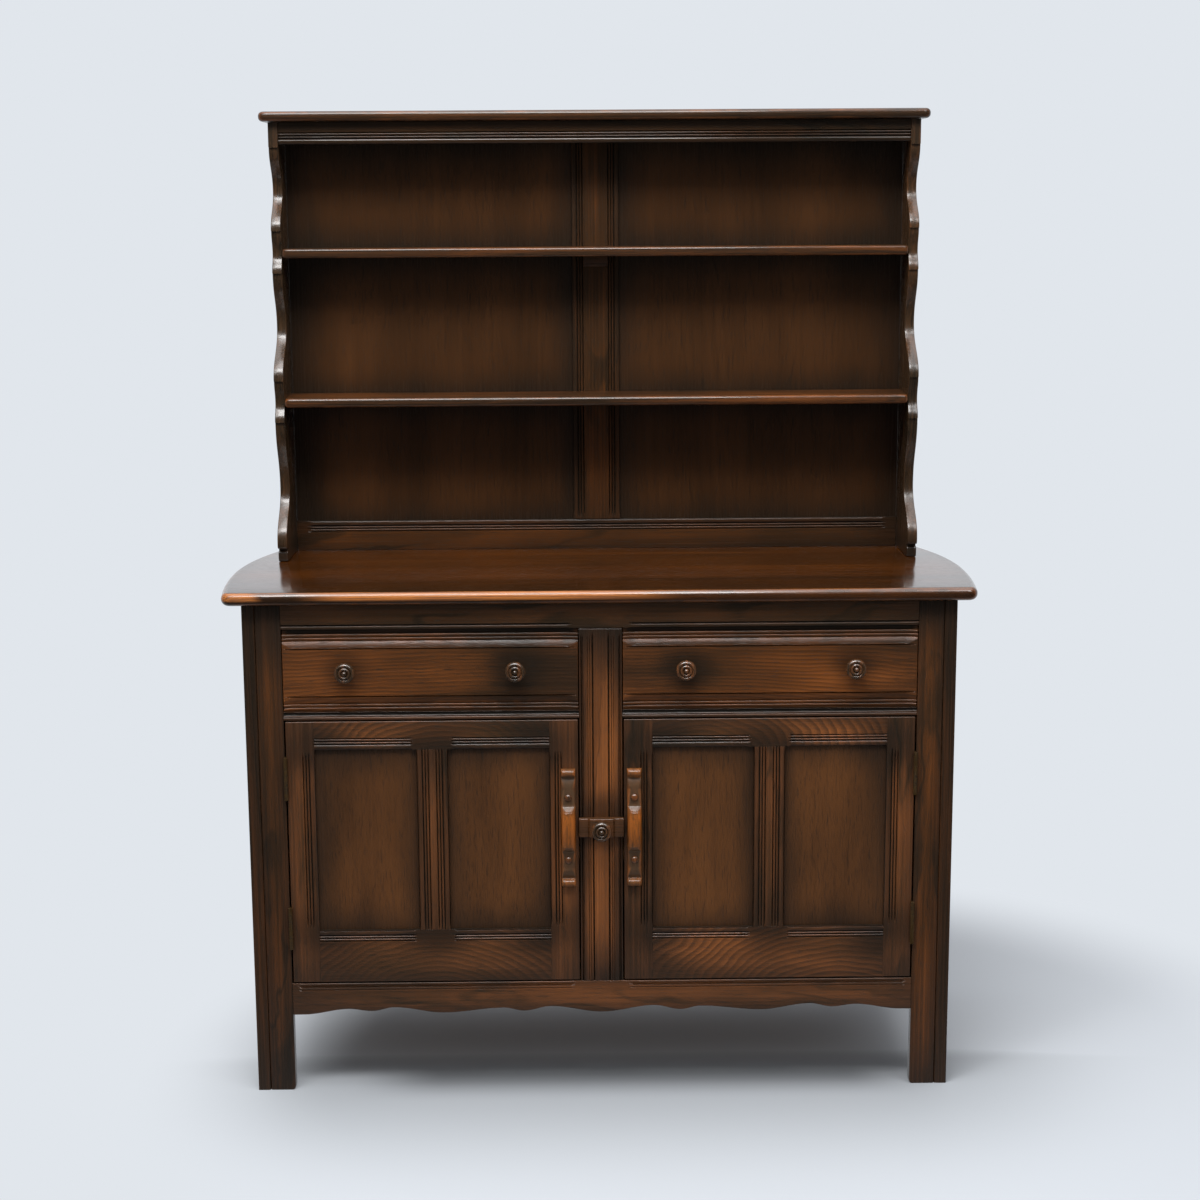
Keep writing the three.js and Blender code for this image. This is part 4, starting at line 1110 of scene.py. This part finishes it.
def door_frame(side, low, high, bottom, top):
    """The stiles, rails and muntin of a door, round panels that show from bottom to top."""
    left_width, right_width = DOOR_STILES[side]
    left, right = low.x + left_width, high.x - right_width
    middle = (left + right) / 2
    muntin = (middle - DOOR_MUNTIN / 2, middle + DOOR_MUNTIN / 2)
    corners = [(x, z, DOOR_SMUDGE) for x in (left, middle, right) for z in (bottom, top)]
    stile_look, rail_look = FRAME.but(smudges=corners), RAIL.but(smudges=corners)

    def board(word, look, run, x, z, cuts, eases):
        place = Vector((x[0], low.y, z[0])), Vector((x[1], high.y, z[1]))
        moulded_board(f"{side}_door_{word}", side + "_door_frame", look, run, place, cuts, eases)

    height = (low.z, high.z)
    for word, x, edge, way, eases in (
            ("left_stile", (low.x, left), left, -1, (ARRIS, FLUSH)),
            ("right_stile", (right, high.x), right, 1, (FLUSH, ARRIS))):
        cuts = [Moulding(PANEL_MOULD, edge, way, bottom + STILE_STOP, top - STILE_STOP)]
        board(word, stile_look, Z, x, height, cuts, (*eases, ARRIS, ARRIS))
    for word, z, edge, way, eases in (
            ("top_rail", (top, high.z), top, 1, (FLUSH, ARRIS)),
            ("bottom_rail", (low.z, bottom), bottom, -1, (ARRIS, FLUSH))):
        cuts = [
            Moulding(PANEL_MOULD, edge, way, None, muntin[0] - RAIL_STOP, SHORT_SWING),
            Moulding(PANEL_MOULD, edge, way, muntin[1] + RAIL_STOP, None, SHORT_SWING)]
        board(word, rail_look, X, (left, right), z, cuts, (*eases, FLUSH, FLUSH))
    cuts = both_sides(PANEL_MOULD, *muntin, bottom + RAIL_STOP, top - RAIL_STOP)
    board("muntin", LIGHT_FRAME, Z, muntin, (bottom, top), cuts, (FLUSH,) * 4)


def shown_panel(node, bottom, top):
    """The part of a panel that its frame leaves open."""
    low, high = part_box(node)
    return Vector((low.x + PANEL_TONGUE, low.y, bottom)), Vector((high.x - PANEL_TONGUE, high.y, top))


def doors():
    for side, _ in SIDES:
        low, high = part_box(side + "_door_frame")
        bottom, top = low.z + DOOR_BOTTOM_RAIL, high.z - DOOR_TOP_RAIL
        door_frame(side, low, high, bottom, top)
        for word in ("inner", "outer"):
            panel = f"{side}_door_{word}_panel"
            dress(panel, wood(PANEL, Z, *shown_panel(panel, bottom, top)))
        pull(side)
        for word in ("lower", "upper"):
            for leaf in ("frame", "door"):
                dress(f"{side}_door_{word}_hinge_{leaf}_leaf", BRASS, LEAF_EDGE)


# Door pulls: places are distances from the end of the pull, and reaches are measured out from the door

PULL_TRIM = 0.0020  # its upper end below the top of the CAD solid
PULL_SEAM = 0.0003
PULL_PAD = 0.0105  # reach of the pad that the grip stands on
PULL_BEAD = 0.0126  # inner side of the bead at the end
PULL_STEP = 0.0600  # inner end of the pad
PULL_GRIP = 0.0668  # foot of the grip
PULL_OPENING = 0.0030  # from the foot of the grip to where its back leaves the door
OPENING_EDGE = 0.0001  # thickness of the step with which it leaves
OPENING_DIP = 0.0003
GRIP_THICKNESS = 0.0098
GRIP_BACK_ROUND = 0.0030
GRIP_CORNER = 0.0098
GRIP_STEPS = 12
GRIP_RISE = 0.0082  # of the front from the pad's end to the foot of the grip
FOOT_STEPS = 4
BACK_START = 0.45  # share of the opening's depth with which it begins
BACK_SWEEP = 0.014
# One end of a pull: distance from the end, reach from the door, and the rounding of its front corners.
PULL_END = [
    (0, 0.0030, 0.0012), (0.0006, 0.0062, 0.0024), (0.0019, 0.0086, 0.0034), (0.0039, 0.0103, 0.0042),
    (0.0062, 0.0110, 0.0046), (0.0086, 0.0104, 0.0042), (0.0106, 0.0088, 0.0036), (0.0120, 0.0066, 0.0028),
    (0.0126, 0.0050, 0.0020), (0.0138, 0.0042, 0.0014), (0.0156, 0.0043, 0.0014)]
SWEEP_START = (0.0164, 0.0048, 0.0016)
SWEEP_END = (0.0330, 0.0104, 0.0086)
SWEEP_STEPS = 8
PAD_TURNS = [(0.0352, PULL_PAD, 0.0066), (0.0560, PULL_PAD, 0.0046), (PULL_STEP, PULL_PAD + 0.0003, 0.0022)]
PEG_RADIUS = 0.0067
PEG_REACH = 0.0036
PEG_DEPTH = 0.003
PEG_SPACING = 0.1040
PEG_SIDES = 28
PEG_DOME_SHARES = [
    (0, 1), (0.25, 0.97), (0.5, 0.86), (0.7, 0.65), (0.82, 0.36), (0.88, 0), (0.9, -0.3), (1.04, -0.3),
    (1.08, 0.02), (0, -1)]
LOFT_CORNER_STEPS = 5


def section(middle, half, back, back_round, reach, front_round):
    """Points round a level cut through a pull. Depths are measured out from the door's face."""
    corners = (
        (-half, back, back_round, math.pi), (-half, reach, front_round, math.pi / 2),
        (half, reach, front_round, 0), (half, back, back_round, -math.pi / 2))
    points = []
    for across, out, radius, first in corners:
        corner = (across - math.copysign(radius, across), out + (radius if out == back else -radius))
        for step in range(LOFT_CORNER_STEPS + 1):
            turn = first + math.pi / 2 - math.pi / 2 * step / LOFT_CORNER_STEPS
            spot = (corner[0] + radius * math.cos(turn), corner[1] + radius * math.sin(turn))
            points.append(middle + Vector((spot[0], -spot[1], 0)))
    return points


def loft(rings):
    """A solid through rings of equally many points, closed at both ends."""
    bm = bmesh.new()
    verts = [bm.verts.new(point) for point in rings[0]]
    edges = [bm.edges.new(pair) for pair in zip(verts, verts[1:] + verts[:1])]
    bmesh.ops.contextual_create(bm, geom=edges)
    for ring in rings[1:]:
        place = {vert: at for at, vert in enumerate(verts)}
        made = bmesh.ops.extrude_edge_only(bm, edges=edges)["geom"]
        verts = [None] * len(ring)
        for vert in loose(made, bmesh.types.BMVert):
            at = next(place[other] for other in neighbours(vert) if other in place)
            verts[at], vert.co = vert, ring[at]
        moved = set(verts)
        edges = [edge for edge in loose(made, bmesh.types.BMEdge) if moved.issuperset(edge.verts)]
    bmesh.ops.contextual_create(bm, geom=edges)
    return bm


def neighbours(vert):
    return [edge.other_vert(vert) for edge in vert.link_edges]


def pad_steps():
    """Sections of a pull from its end to the foot of its grip: place, reach and rounding in front."""
    steps = list(PULL_END)
    (start, low, sharp), (end, high, wide) = SWEEP_START, SWEEP_END
    for share in (step / SWEEP_STEPS for step in range(SWEEP_STEPS + 1)):
        out = high - (high - low) * (1 - share) ** 2
        steps.append((start + (end - start) * share, out, sharp + (wide - sharp) * share))
    steps += PAD_TURNS
    start, low, sharp = PAD_TURNS[-1]
    for share in (step / FOOT_STEPS for step in range(1, FOOT_STEPS + 1)):
        place = start + (PULL_GRIP - start) * share
        steps.append((place, low + GRIP_RISE * share, sharp + (GRIP_CORNER - sharp) * share))
    return steps


def pull_steps(half, reach):
    """Sections of the upper half of a pull, from its end to its middle, with where its back lies."""
    steps = [(*step, 0.0) for step in pad_steps()]
    start, inside = steps[-1][1], reach - GRIP_THICKNESS
    opening, length = PULL_GRIP + PULL_OPENING, half - PULL_GRIP
    for share in (step / GRIP_STEPS for step in range(1, GRIP_STEPS + 1)):
        place = PULL_GRIP + length * share
        out = start + (reach - start) * math.sin(math.pi / 2 * share)
        if place - length / GRIP_STEPS < opening <= place:
            steps += [
                (opening, out - OPENING_DIP, GRIP_CORNER, 0.0),
                (opening + OPENING_EDGE, out - OPENING_DIP, GRIP_CORNER, inside * BACK_START)]
        if place > opening + OPENING_EDGE:
            sweep = math.sin(math.pi / 2 * min((place - opening) / BACK_SWEEP, 1))
            steps.append((place, out, GRIP_CORNER, inside * (BACK_START + (1 - BACK_START) * sweep)))
        elif place < opening:
            steps.append((place, out, GRIP_CORNER, 0.0))
    return steps


def pull(side):
    node = side + "_door_pull"
    low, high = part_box(node)
    base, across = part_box(side + "_door_frame")[0].y - PULL_SEAM, (low.x + high.x) / 2
    top = high.z - PULL_TRIM
    middle, half, width = (low.z + top) / 2, (top - low.z) / 2, (high.x - low.x) / 2
    steps = pull_steps(half, base - low.y)
    rings = []
    for way, order in ((1, steps), (-1, steps[-2::-1])):
        for place, reach, corner, back in order:
            spot = Vector((across, base, middle + way * (half - place)))
            rings.append(section(spot, width, back, GRIP_BACK_ROUND if back else FLUSH, reach, corner))
    show(side + "_shaped_pull", loft(rings), node, wood(PULL, Z, low, high), PULL_ANGLE)
    profile = [(share * PEG_RADIUS, out * PEG_REACH) for share, out in PEG_DOME_SHARES[::-1]]
    corner = Vector((PEG_RADIUS, PEG_DEPTH, PEG_RADIUS))
    for word, sign in (("upper", 1), ("lower", -1)):
        foot = Vector((across, base - PULL_PAD, middle + sign * PEG_SPACING / 2))
        peg_wood = wood(PEG, Z, foot - corner, foot + corner)
        show(f"{side}_pull_{word}_peg", turn_profile(profile, foot, PEG_SIDES), node, peg_wood, TURNED_ANGLE)


BRASS = brass()


# Latch

LATCH_ARM_THICKNESS = 0.0092
LATCH_BOSS_HALF = 0.0196
LATCH_GROOVE = 0.0022
LATCH_GROOVE_DEPTH = 0.0016
LATCH_SLOPE = 0.0014
LATCH_EDGE = 0.0012
LATCH_MARGIN = 0.0001


def latch():
    low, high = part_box("latch_bar")
    sunk = high.y - low.y - LATCH_ARM_THICKNESS
    arm = (high.x - low.x) / 2 - LATCH_BOSS_HALF
    step = [
        (0, sunk), (LATCH_MARGIN, sunk), (arm - LATCH_GROOVE, sunk),
        (arm - LATCH_GROOVE / 2, sunk + LATCH_GROOVE_DEPTH), (arm, sunk), (arm + LATCH_SLOPE, 0)]
    bm = relief(low, high, Z, both_sides(step, low.x, high.x), (LATCH_EDGE, LATCH_EDGE, ARRIS, ARRIS))
    show("turn_button", bm, "latch_bar", wood(LATCH, X, low, high))
    knob("latch_turned_knob", "latch_knob", "latch_bar")


# Plate rack

TOP_BOARD_CORNER = 0.014
TOP_BOARD_ROUND = 0.0072
TOP_CORNER_STEPS = 10
BOARD_ROUND_STEPS = 6
SIDE_EDGE = 0.0026
SIDE_FOOT_SHADE = (0.006, 0.034)  # painted shade on the toe under the nose: its height above the foot, and reach
SEAM = 0.0003  # between the rack and what it stands on or carries
TOE_HEIGHT = 0.0190
TOE_DEPTH = 0.142
NOTCH_DEPTH = 0.134  # of the notch between the toe and the nose above it
NOSE_FOOT = 0.0235
TOE_ROUND = 0.004
TOE_SHOULDER = 0.7  # of its height, where its upper rounding starts
NOSE_HEIGHT = 0.033
NOSE_DEPTH = 0.150
SCOOP_DEPTHS = (0.093, 0.0675, 0.062)
SCOOP_SHARES = (0.43, 0.5, 0.49)  # of the way from one lip to the next, where the scoops are deepest
HEAD_DEPTH = 0.0995
HEAD_HEIGHT = 0.042
LIP_BELOW = 0.041
LIP_ABOVE = 0.029
LIP_STEP = 0.003
LIP_REACH = 0.001
WAIST_SETBACK = 0.011
SIDE_STEPS = 16
TOE_STEPS = 6
NOSE_STEPS = 5


def rack_side_outline(low, high, shelves):
    """The outline of a rack side in Y and Z: its foot, its front edge from the worktop up, and its top."""
    foot = low.z - SEAM

    def at(depth, height):
        return Vector((high.y - depth, foot + height))

    sole = low.z - foot
    points = [at(0, sole), at(TOE_DEPTH - TOE_ROUND, sole)]

    def swing_to(point, steps=SIDE_STEPS):
        points.extend(swing_between(points[-1], point, steps))

    points += bend(points[-1], at(TOE_DEPTH, sole), at(TOE_DEPTH, TOE_HEIGHT * TOE_SHOULDER), TOE_STEPS)
    points += bend(points[-1], at(TOE_DEPTH, TOE_HEIGHT), at(NOTCH_DEPTH, TOE_HEIGHT), TOE_STEPS)
    points += [at(NOTCH_DEPTH, NOSE_FOOT), at(NOSE_DEPTH - LIP_STEP, NOSE_FOOT)]
    points += bend(points[-1], at(NOSE_DEPTH, NOSE_FOOT), at(NOSE_DEPTH, NOSE_HEIGHT), NOSE_STEPS)
    height = NOSE_HEIGHT
    for (shelf_low, shelf_high), scoop_depth, share in zip(shelves, SCOOP_DEPTHS, SCOOP_SHARES):
        shelf_top = shelf_high.z - foot
        lip = high.y - shelf_low.y + LIP_REACH
        below, above = shelf_top - LIP_BELOW, shelf_top + LIP_ABOVE
        swing_to(at(scoop_depth, height + (below - height) * share))
        swing_to(at(lip - LIP_STEP, below))
        points.append(at(lip, below))
        waist = at(lip - LIP_REACH - WAIST_SETBACK, (shelf_low.z + shelf_high.z) / 2 - foot)
        swing_to(waist, SIDE_STEPS // 2)
        swing_to(at(lip - LIP_STEP, above), SIDE_STEPS // 2)
        points.append(at(lip, above))
        height = above
    head, crown = high.z + SEAM - foot - HEAD_HEIGHT, high.z - foot
    swing_to(at(SCOOP_DEPTHS[-1], height + (head - height) * SCOOP_SHARES[-1]))
    swing_to(at(HEAD_DEPTH - LIP_STEP, head))
    return points + [at(HEAD_DEPTH, head), at(HEAD_DEPTH, crown), at(0, crown)]


def rack_sides():
    shelves = [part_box("rack_lower_shelf"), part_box("rack_upper_shelf")]
    above, reach = SIDE_FOOT_SHADE
    for side, _ in SIDES:
        node = f"rack_{side}_side"
        low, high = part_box(node)
        bm = plate(rack_side_outline(low, high, shelves), X, low.x, high.x)
        bevel(bm, rim_edges(bm, X, lambda middle, high=high: middle.y < high.y - ARRIS), SIDE_EDGE)
        # painted shade on the toe and notch under the nose
        look = SIDE.but(smudges=[((low.x + high.x) / 2, low.z + above, reach)])
        show(f"scrolled_{side}_side", bm, node, wood(look, Z, low, high))


SHELF_CORNER = 0.010
SHELF_ROUND = 0.0062
SHELF_FRONT = 1.5  # corners deep is the stretch of its edge that is rounded
SHELF_CORNER_STEPS = 8


def rounded_corner(x, y, radius, steps):
    """Points round the right front corner of a board."""
    start = Vector((x - radius, y))
    return [start] + bend(start, Vector((x, y)), Vector((x, y + radius)), steps)


def rack_shelves():
    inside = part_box("rack_right_side")[0].x
    for word in ("lower", "upper"):
        node = f"rack_{word}_shelf"
        low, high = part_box(node)
        right = rounded_corner(inside, low.y, SHELF_CORNER, SHELF_CORNER_STEPS) + [Vector((inside, high.y))]
        bm = plate(mirrored(right), Z, low.z, high.z)
        front = rim_edges(bm, Z, lambda middle, low=low: middle.y < low.y + SHELF_FRONT * SHELF_CORNER)
        bevel(bm, front, SHELF_ROUND, BOARD_ROUND_STEPS)
        show(f"{word}_plate_shelf", bm, node, wood(SHELF, X, low, high))


RACK_RAIL_STOP = 0.034
RACK_POST_STOP = 0.02
BLOCK_EDGE = 0.0015


def rack_back():
    low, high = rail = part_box("rack_bottom_rail")
    cuts = [Moulding(PANEL_MOULD, high.z, -1, low.x + RACK_RAIL_STOP, high.x - RACK_RAIL_STOP)]
    moulded_board(
        "rack_moulded_rail", "rack_bottom_rail", DEEP_RAIL, X, rail, cuts, (JOINT, FLUSH, JOINT, JOINT))
    low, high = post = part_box("rack_muntin")
    cuts = both_sides(PANEL_MOULD, low.x, high.x, low.z + RACK_POST_STOP, None)
    moulded_board(
        "rack_moulded_muntin", "rack_muntin", RACK_POST, Z, post, cuts, (FLUSH, FLUSH, JOINT, JOINT))
    seams = [rail[1].z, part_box("rack_frieze")[0].z]
    for word in ("lower", "upper"):
        seams += [corner.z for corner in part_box(f"rack_{word}_shelf")]
    for side, _ in SIDES:
        plain_board(f"rack_{side}_back_panel", BACK_PANEL.but(seams=seams), Z)
    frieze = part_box("rack_frieze")
    cuts = [Moulding(PANEL_MOULD, frieze[0].z, 1)]
    moulded_board(
        "moulded_frieze", "rack_frieze", FRIEZE_RAIL, X, frieze, cuts, (FLUSH, JOINT, JOINT, JOINT))
    low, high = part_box("rack_shelf_block")
    show("shelf_block", block(low, high, BLOCK_EDGE), "rack_shelf_block", wood(FRAME, X, low, high))


def top_board():
    low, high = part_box("rack_top_board")
    right = rounded_corner(high.x, low.y, TOP_BOARD_CORNER, TOP_CORNER_STEPS)
    right += [Vector((high.x, high.y + TOP_BOARD_ROUND))]
    bm = plate(mirrored(right), Z, low.z, high.z)
    bevel(bm, rim_edges(bm, Z), TOP_BOARD_ROUND, BOARD_ROUND_STEPS)
    cut_off_behind(bm, high.y)
    show("top_board", bm, "rack_top_board", wood(SHELF, X, low, high))


# Room: floor, light and camera

BACKGROUND = srgb(225, 230, 236)
DAYLIGHT = srgb(246, 247, 250)
DOME_LIGHT = (0.20, 1.0)  # from below and from above
DOME_RISE = (-0.1, 0.75)
DIM = 0.04
GLOW = 3.0  # what polished wood mirrors from overhead
GLOW_RISE = (0.74, 0.92)
PALE_BEHIND = (-0.35, 0.45)
PALE_ABOVE = (0.35, 0.95)
FLOOR_SIZE = 9.0
FLOOR_MIDDLE = (0.30, -0.15, 0)
FLOOR_FADE = (0.72, 1.10)
FLOOR_SHARE = 0.57  # of the background's lightness, because the lamps stand above the floor
FLOOR_NEAR = 0.66  # of that share beside the feet, as painted shadow
FLOOR_REACH = (-0.1, 0.60)
FLOOR_BENEATH = (0.02, 0.16)  # behind the front of the base, where painted light makes the floor pale again
PAINTED_FLOOR_LIGHT = 0.95  # painted light that is added to it there
FLOOR_MIRRORED = (-0.9, 0.6)
PAINTED_SHADOW_DIP = 0.62  # of the floor's lightness is lost under the front edge, as painted shadow
DIP_FRONT = (-0.25, -0.14)
DIP_BACK = (-0.15, -0.08)
DIP_LEFT = (-0.44, -0.26)
DIP_RIGHT = (0.40, 0.56)
BASE_HALF = 0.46
BASE_FRONT = -0.12
# Lamps: place, width, height and power
SOFTBOXES = {
    "top_softbox": ((-0.25, -0.6, 3.4), 1.5, 1.0, 28),
    "front_softbox": ((-0.3, -1.7, 3.6), 1.8, 0.8, 90),
    "left_softbox": ((-1.8, -1.9, 3.6), 1.1, 1.4, 36),
    "right_softbox": ((1.8, -1.9, 3.6), 1.1, 1.4, 36)}
LIT = Vector((0, 0, 0.8))  # what the lamps point at
CAMERA_PLACE = Vector((-0.036, -3.464, 1.421))
CAMERA_PITCH = math.radians(10.45)
CAMERA_YAW = math.radians(0.63)
CAMERA_ROLL = math.radians(0.35)
CAMERA_LENS = 63.0
CAMERA_SENSOR = 36.0


def ray_kinds(finish):
    """1 for what the camera sees, and 1 for what shows in a reflection or through glass."""
    path = finish.node("LightPath").socket.node
    camera, glossy, through = (
        Wire(finish, path.outputs[f"Is {kind} Ray"]) for kind in ("Camera", "Glossy", "Transmission"))
    return camera, glossy.most(through)


def glowing(finish, kind, strength, colour=BACKGROUND):
    return finish.node(kind, values={"Color": tint(colour), "Strength": strength})


def mixed(finish, share, first, second):
    return finish.node("MixShader", values={0: share, 1: first, 2: second})


def pale_and_dim(finish, pale, kind):
    """A shader of the background's colour, which is dim where pale is 0."""
    return mixed(finish, pale, glowing(finish, kind, DIM), glowing(finish, kind, 1.0))


def painted_floor_shade(finish, across, along):
    """Painted shadow on the floor: darker beside the feet and under the front edge, and painted light that
    makes it pale again beneath the base.
    """
    beside = (abs(across) - BASE_HALF).most(0.0)
    before = (BASE_FRONT - along).most(0.0)
    beneath = (along - BASE_FRONT).rise(*FLOOR_BENEATH)
    away = (beside * beside + before * before).root()
    near = away.rise(*FLOOR_REACH).most(beneath).rise(0.0, 1.0, FLOOR_NEAR, 1.0) + beneath * PAINTED_FLOOR_LIGHT
    deep = along.rise(*DIP_FRONT) * along.rise(*DIP_BACK, 1.0, 0.0)
    return near * (1 - deep * across.rise(*DIP_LEFT) * across.rise(*DIP_RIGHT, PAINTED_SHADOW_DIP, 0.0))


def floor():
    """A pale floor, which takes the dresser's shadow from the lamps and painted shadow round the base, and
    fades into the background further away.
    """
    bm = bmesh.new()
    bmesh.ops.create_grid(bm, x_segments=1, y_segments=1, size=FLOOR_SIZE)
    mesh = bpy.data.meshes.new("floor")
    bm.to_mesh(mesh)
    bm.free()
    plane = bpy.data.objects.new("floor", mesh)
    bpy.context.scene.collection.objects.link(plane)
    finish = new_finish("pale_floor")
    camera, mirror = ray_kinds(finish)
    point = finish.node("TexCoord", output="Object")
    far = finish.node("VectorMath", {"operation": "DISTANCE"}, {0: point, 1: FLOOR_MIDDLE}, output=1)
    across, along, _ = finish.split(point)
    painted_lightness = painted_floor_shade(finish, across, along)
    pale = finish.blend(painted_lightness, (0, 0, 0), [FLOOR_SHARE * part for part in BACKGROUND])
    matt = finish.node("BsdfDiffuse", values={"Color": pale})
    mirrored_floor = pale_and_dim(finish, along.rise(*FLOOR_MIRRORED), "Emission")
    seen = mixed(finish, far.rise(*FLOOR_FADE) * camera, matt, glowing(finish, "Emission", 1.0))
    finish.node("OutputMaterial", values={"Surface": mixed(finish, mirror, seen, mirrored_floor)})
    mesh.materials.append(finish.owner)


def world():
    """A pale room. Reflections see it pale behind and above the dresser, and dim where the camera stands."""
    made = bpy.data.worlds.new("pale_room")
    bpy.context.scene.world = made
    finish = Finish(made)
    camera, mirror = ray_kinds(finish)
    _, back, up = finish.split(finish.node("TexCoord", output="Generated"))
    pale = back.rise(*PALE_BEHIND).most(up.rise(*PALE_ABOVE))
    shown = pale_and_dim(finish, camera.most(pale), "Background")
    glow, low, high = (
        glowing(finish, "Background", strength, DAYLIGHT) for strength in (GLOW, *DOME_LIGHT))
    shown = mixed(finish, up.rise(*GLOW_RISE) * mirror, shown, glow)
    dome = mixed(finish, up.rise(*DOME_RISE), low, high)
    finish.node("OutputWorld", values={"Surface": mixed(finish, camera.most(mirror), dome, shown)})


def lights():
    for name, (place, width, height, power) in SOFTBOXES.items():
        lamp = bpy.data.lights.new(name, "AREA")
        lamp.shape, lamp.size, lamp.size_y = "RECTANGLE", width, height
        lamp.energy = power
        made = bpy.data.objects.new(name, lamp)
        made.location = place
        made.rotation_euler = (LIT - Vector(place)).to_track_quat("-Z", "Y").to_euler()
        bpy.context.scene.collection.objects.link(made)


def camera():
    made = bpy.data.cameras.new("camera")
    made.lens = CAMERA_LENS
    made.sensor_width = CAMERA_SENSOR
    view = bpy.data.objects.new("camera", made)
    turn = Matrix.Rotation(-CAMERA_YAW, 4, "Z") @ Matrix.Rotation(math.pi / 2 - CAMERA_PITCH, 4, "X")
    view.matrix_world = Matrix.Translation(CAMERA_PLACE) @ turn @ Matrix.Rotation(-CAMERA_ROLL, 4, "Z")
    bpy.context.scene.collection.objects.link(view)
    bpy.context.scene.camera = view


camera()
lights()
world()
floor()
worktop()
front_rails()
bottom_rail()
front_stiles()
end_frames()
carcass_boards()
drawers()
doors()
latch()
rack_sides()
rack_shelves()
rack_back()
top_board()
bpy.context.scene.view_settings.view_transform = "Standard"
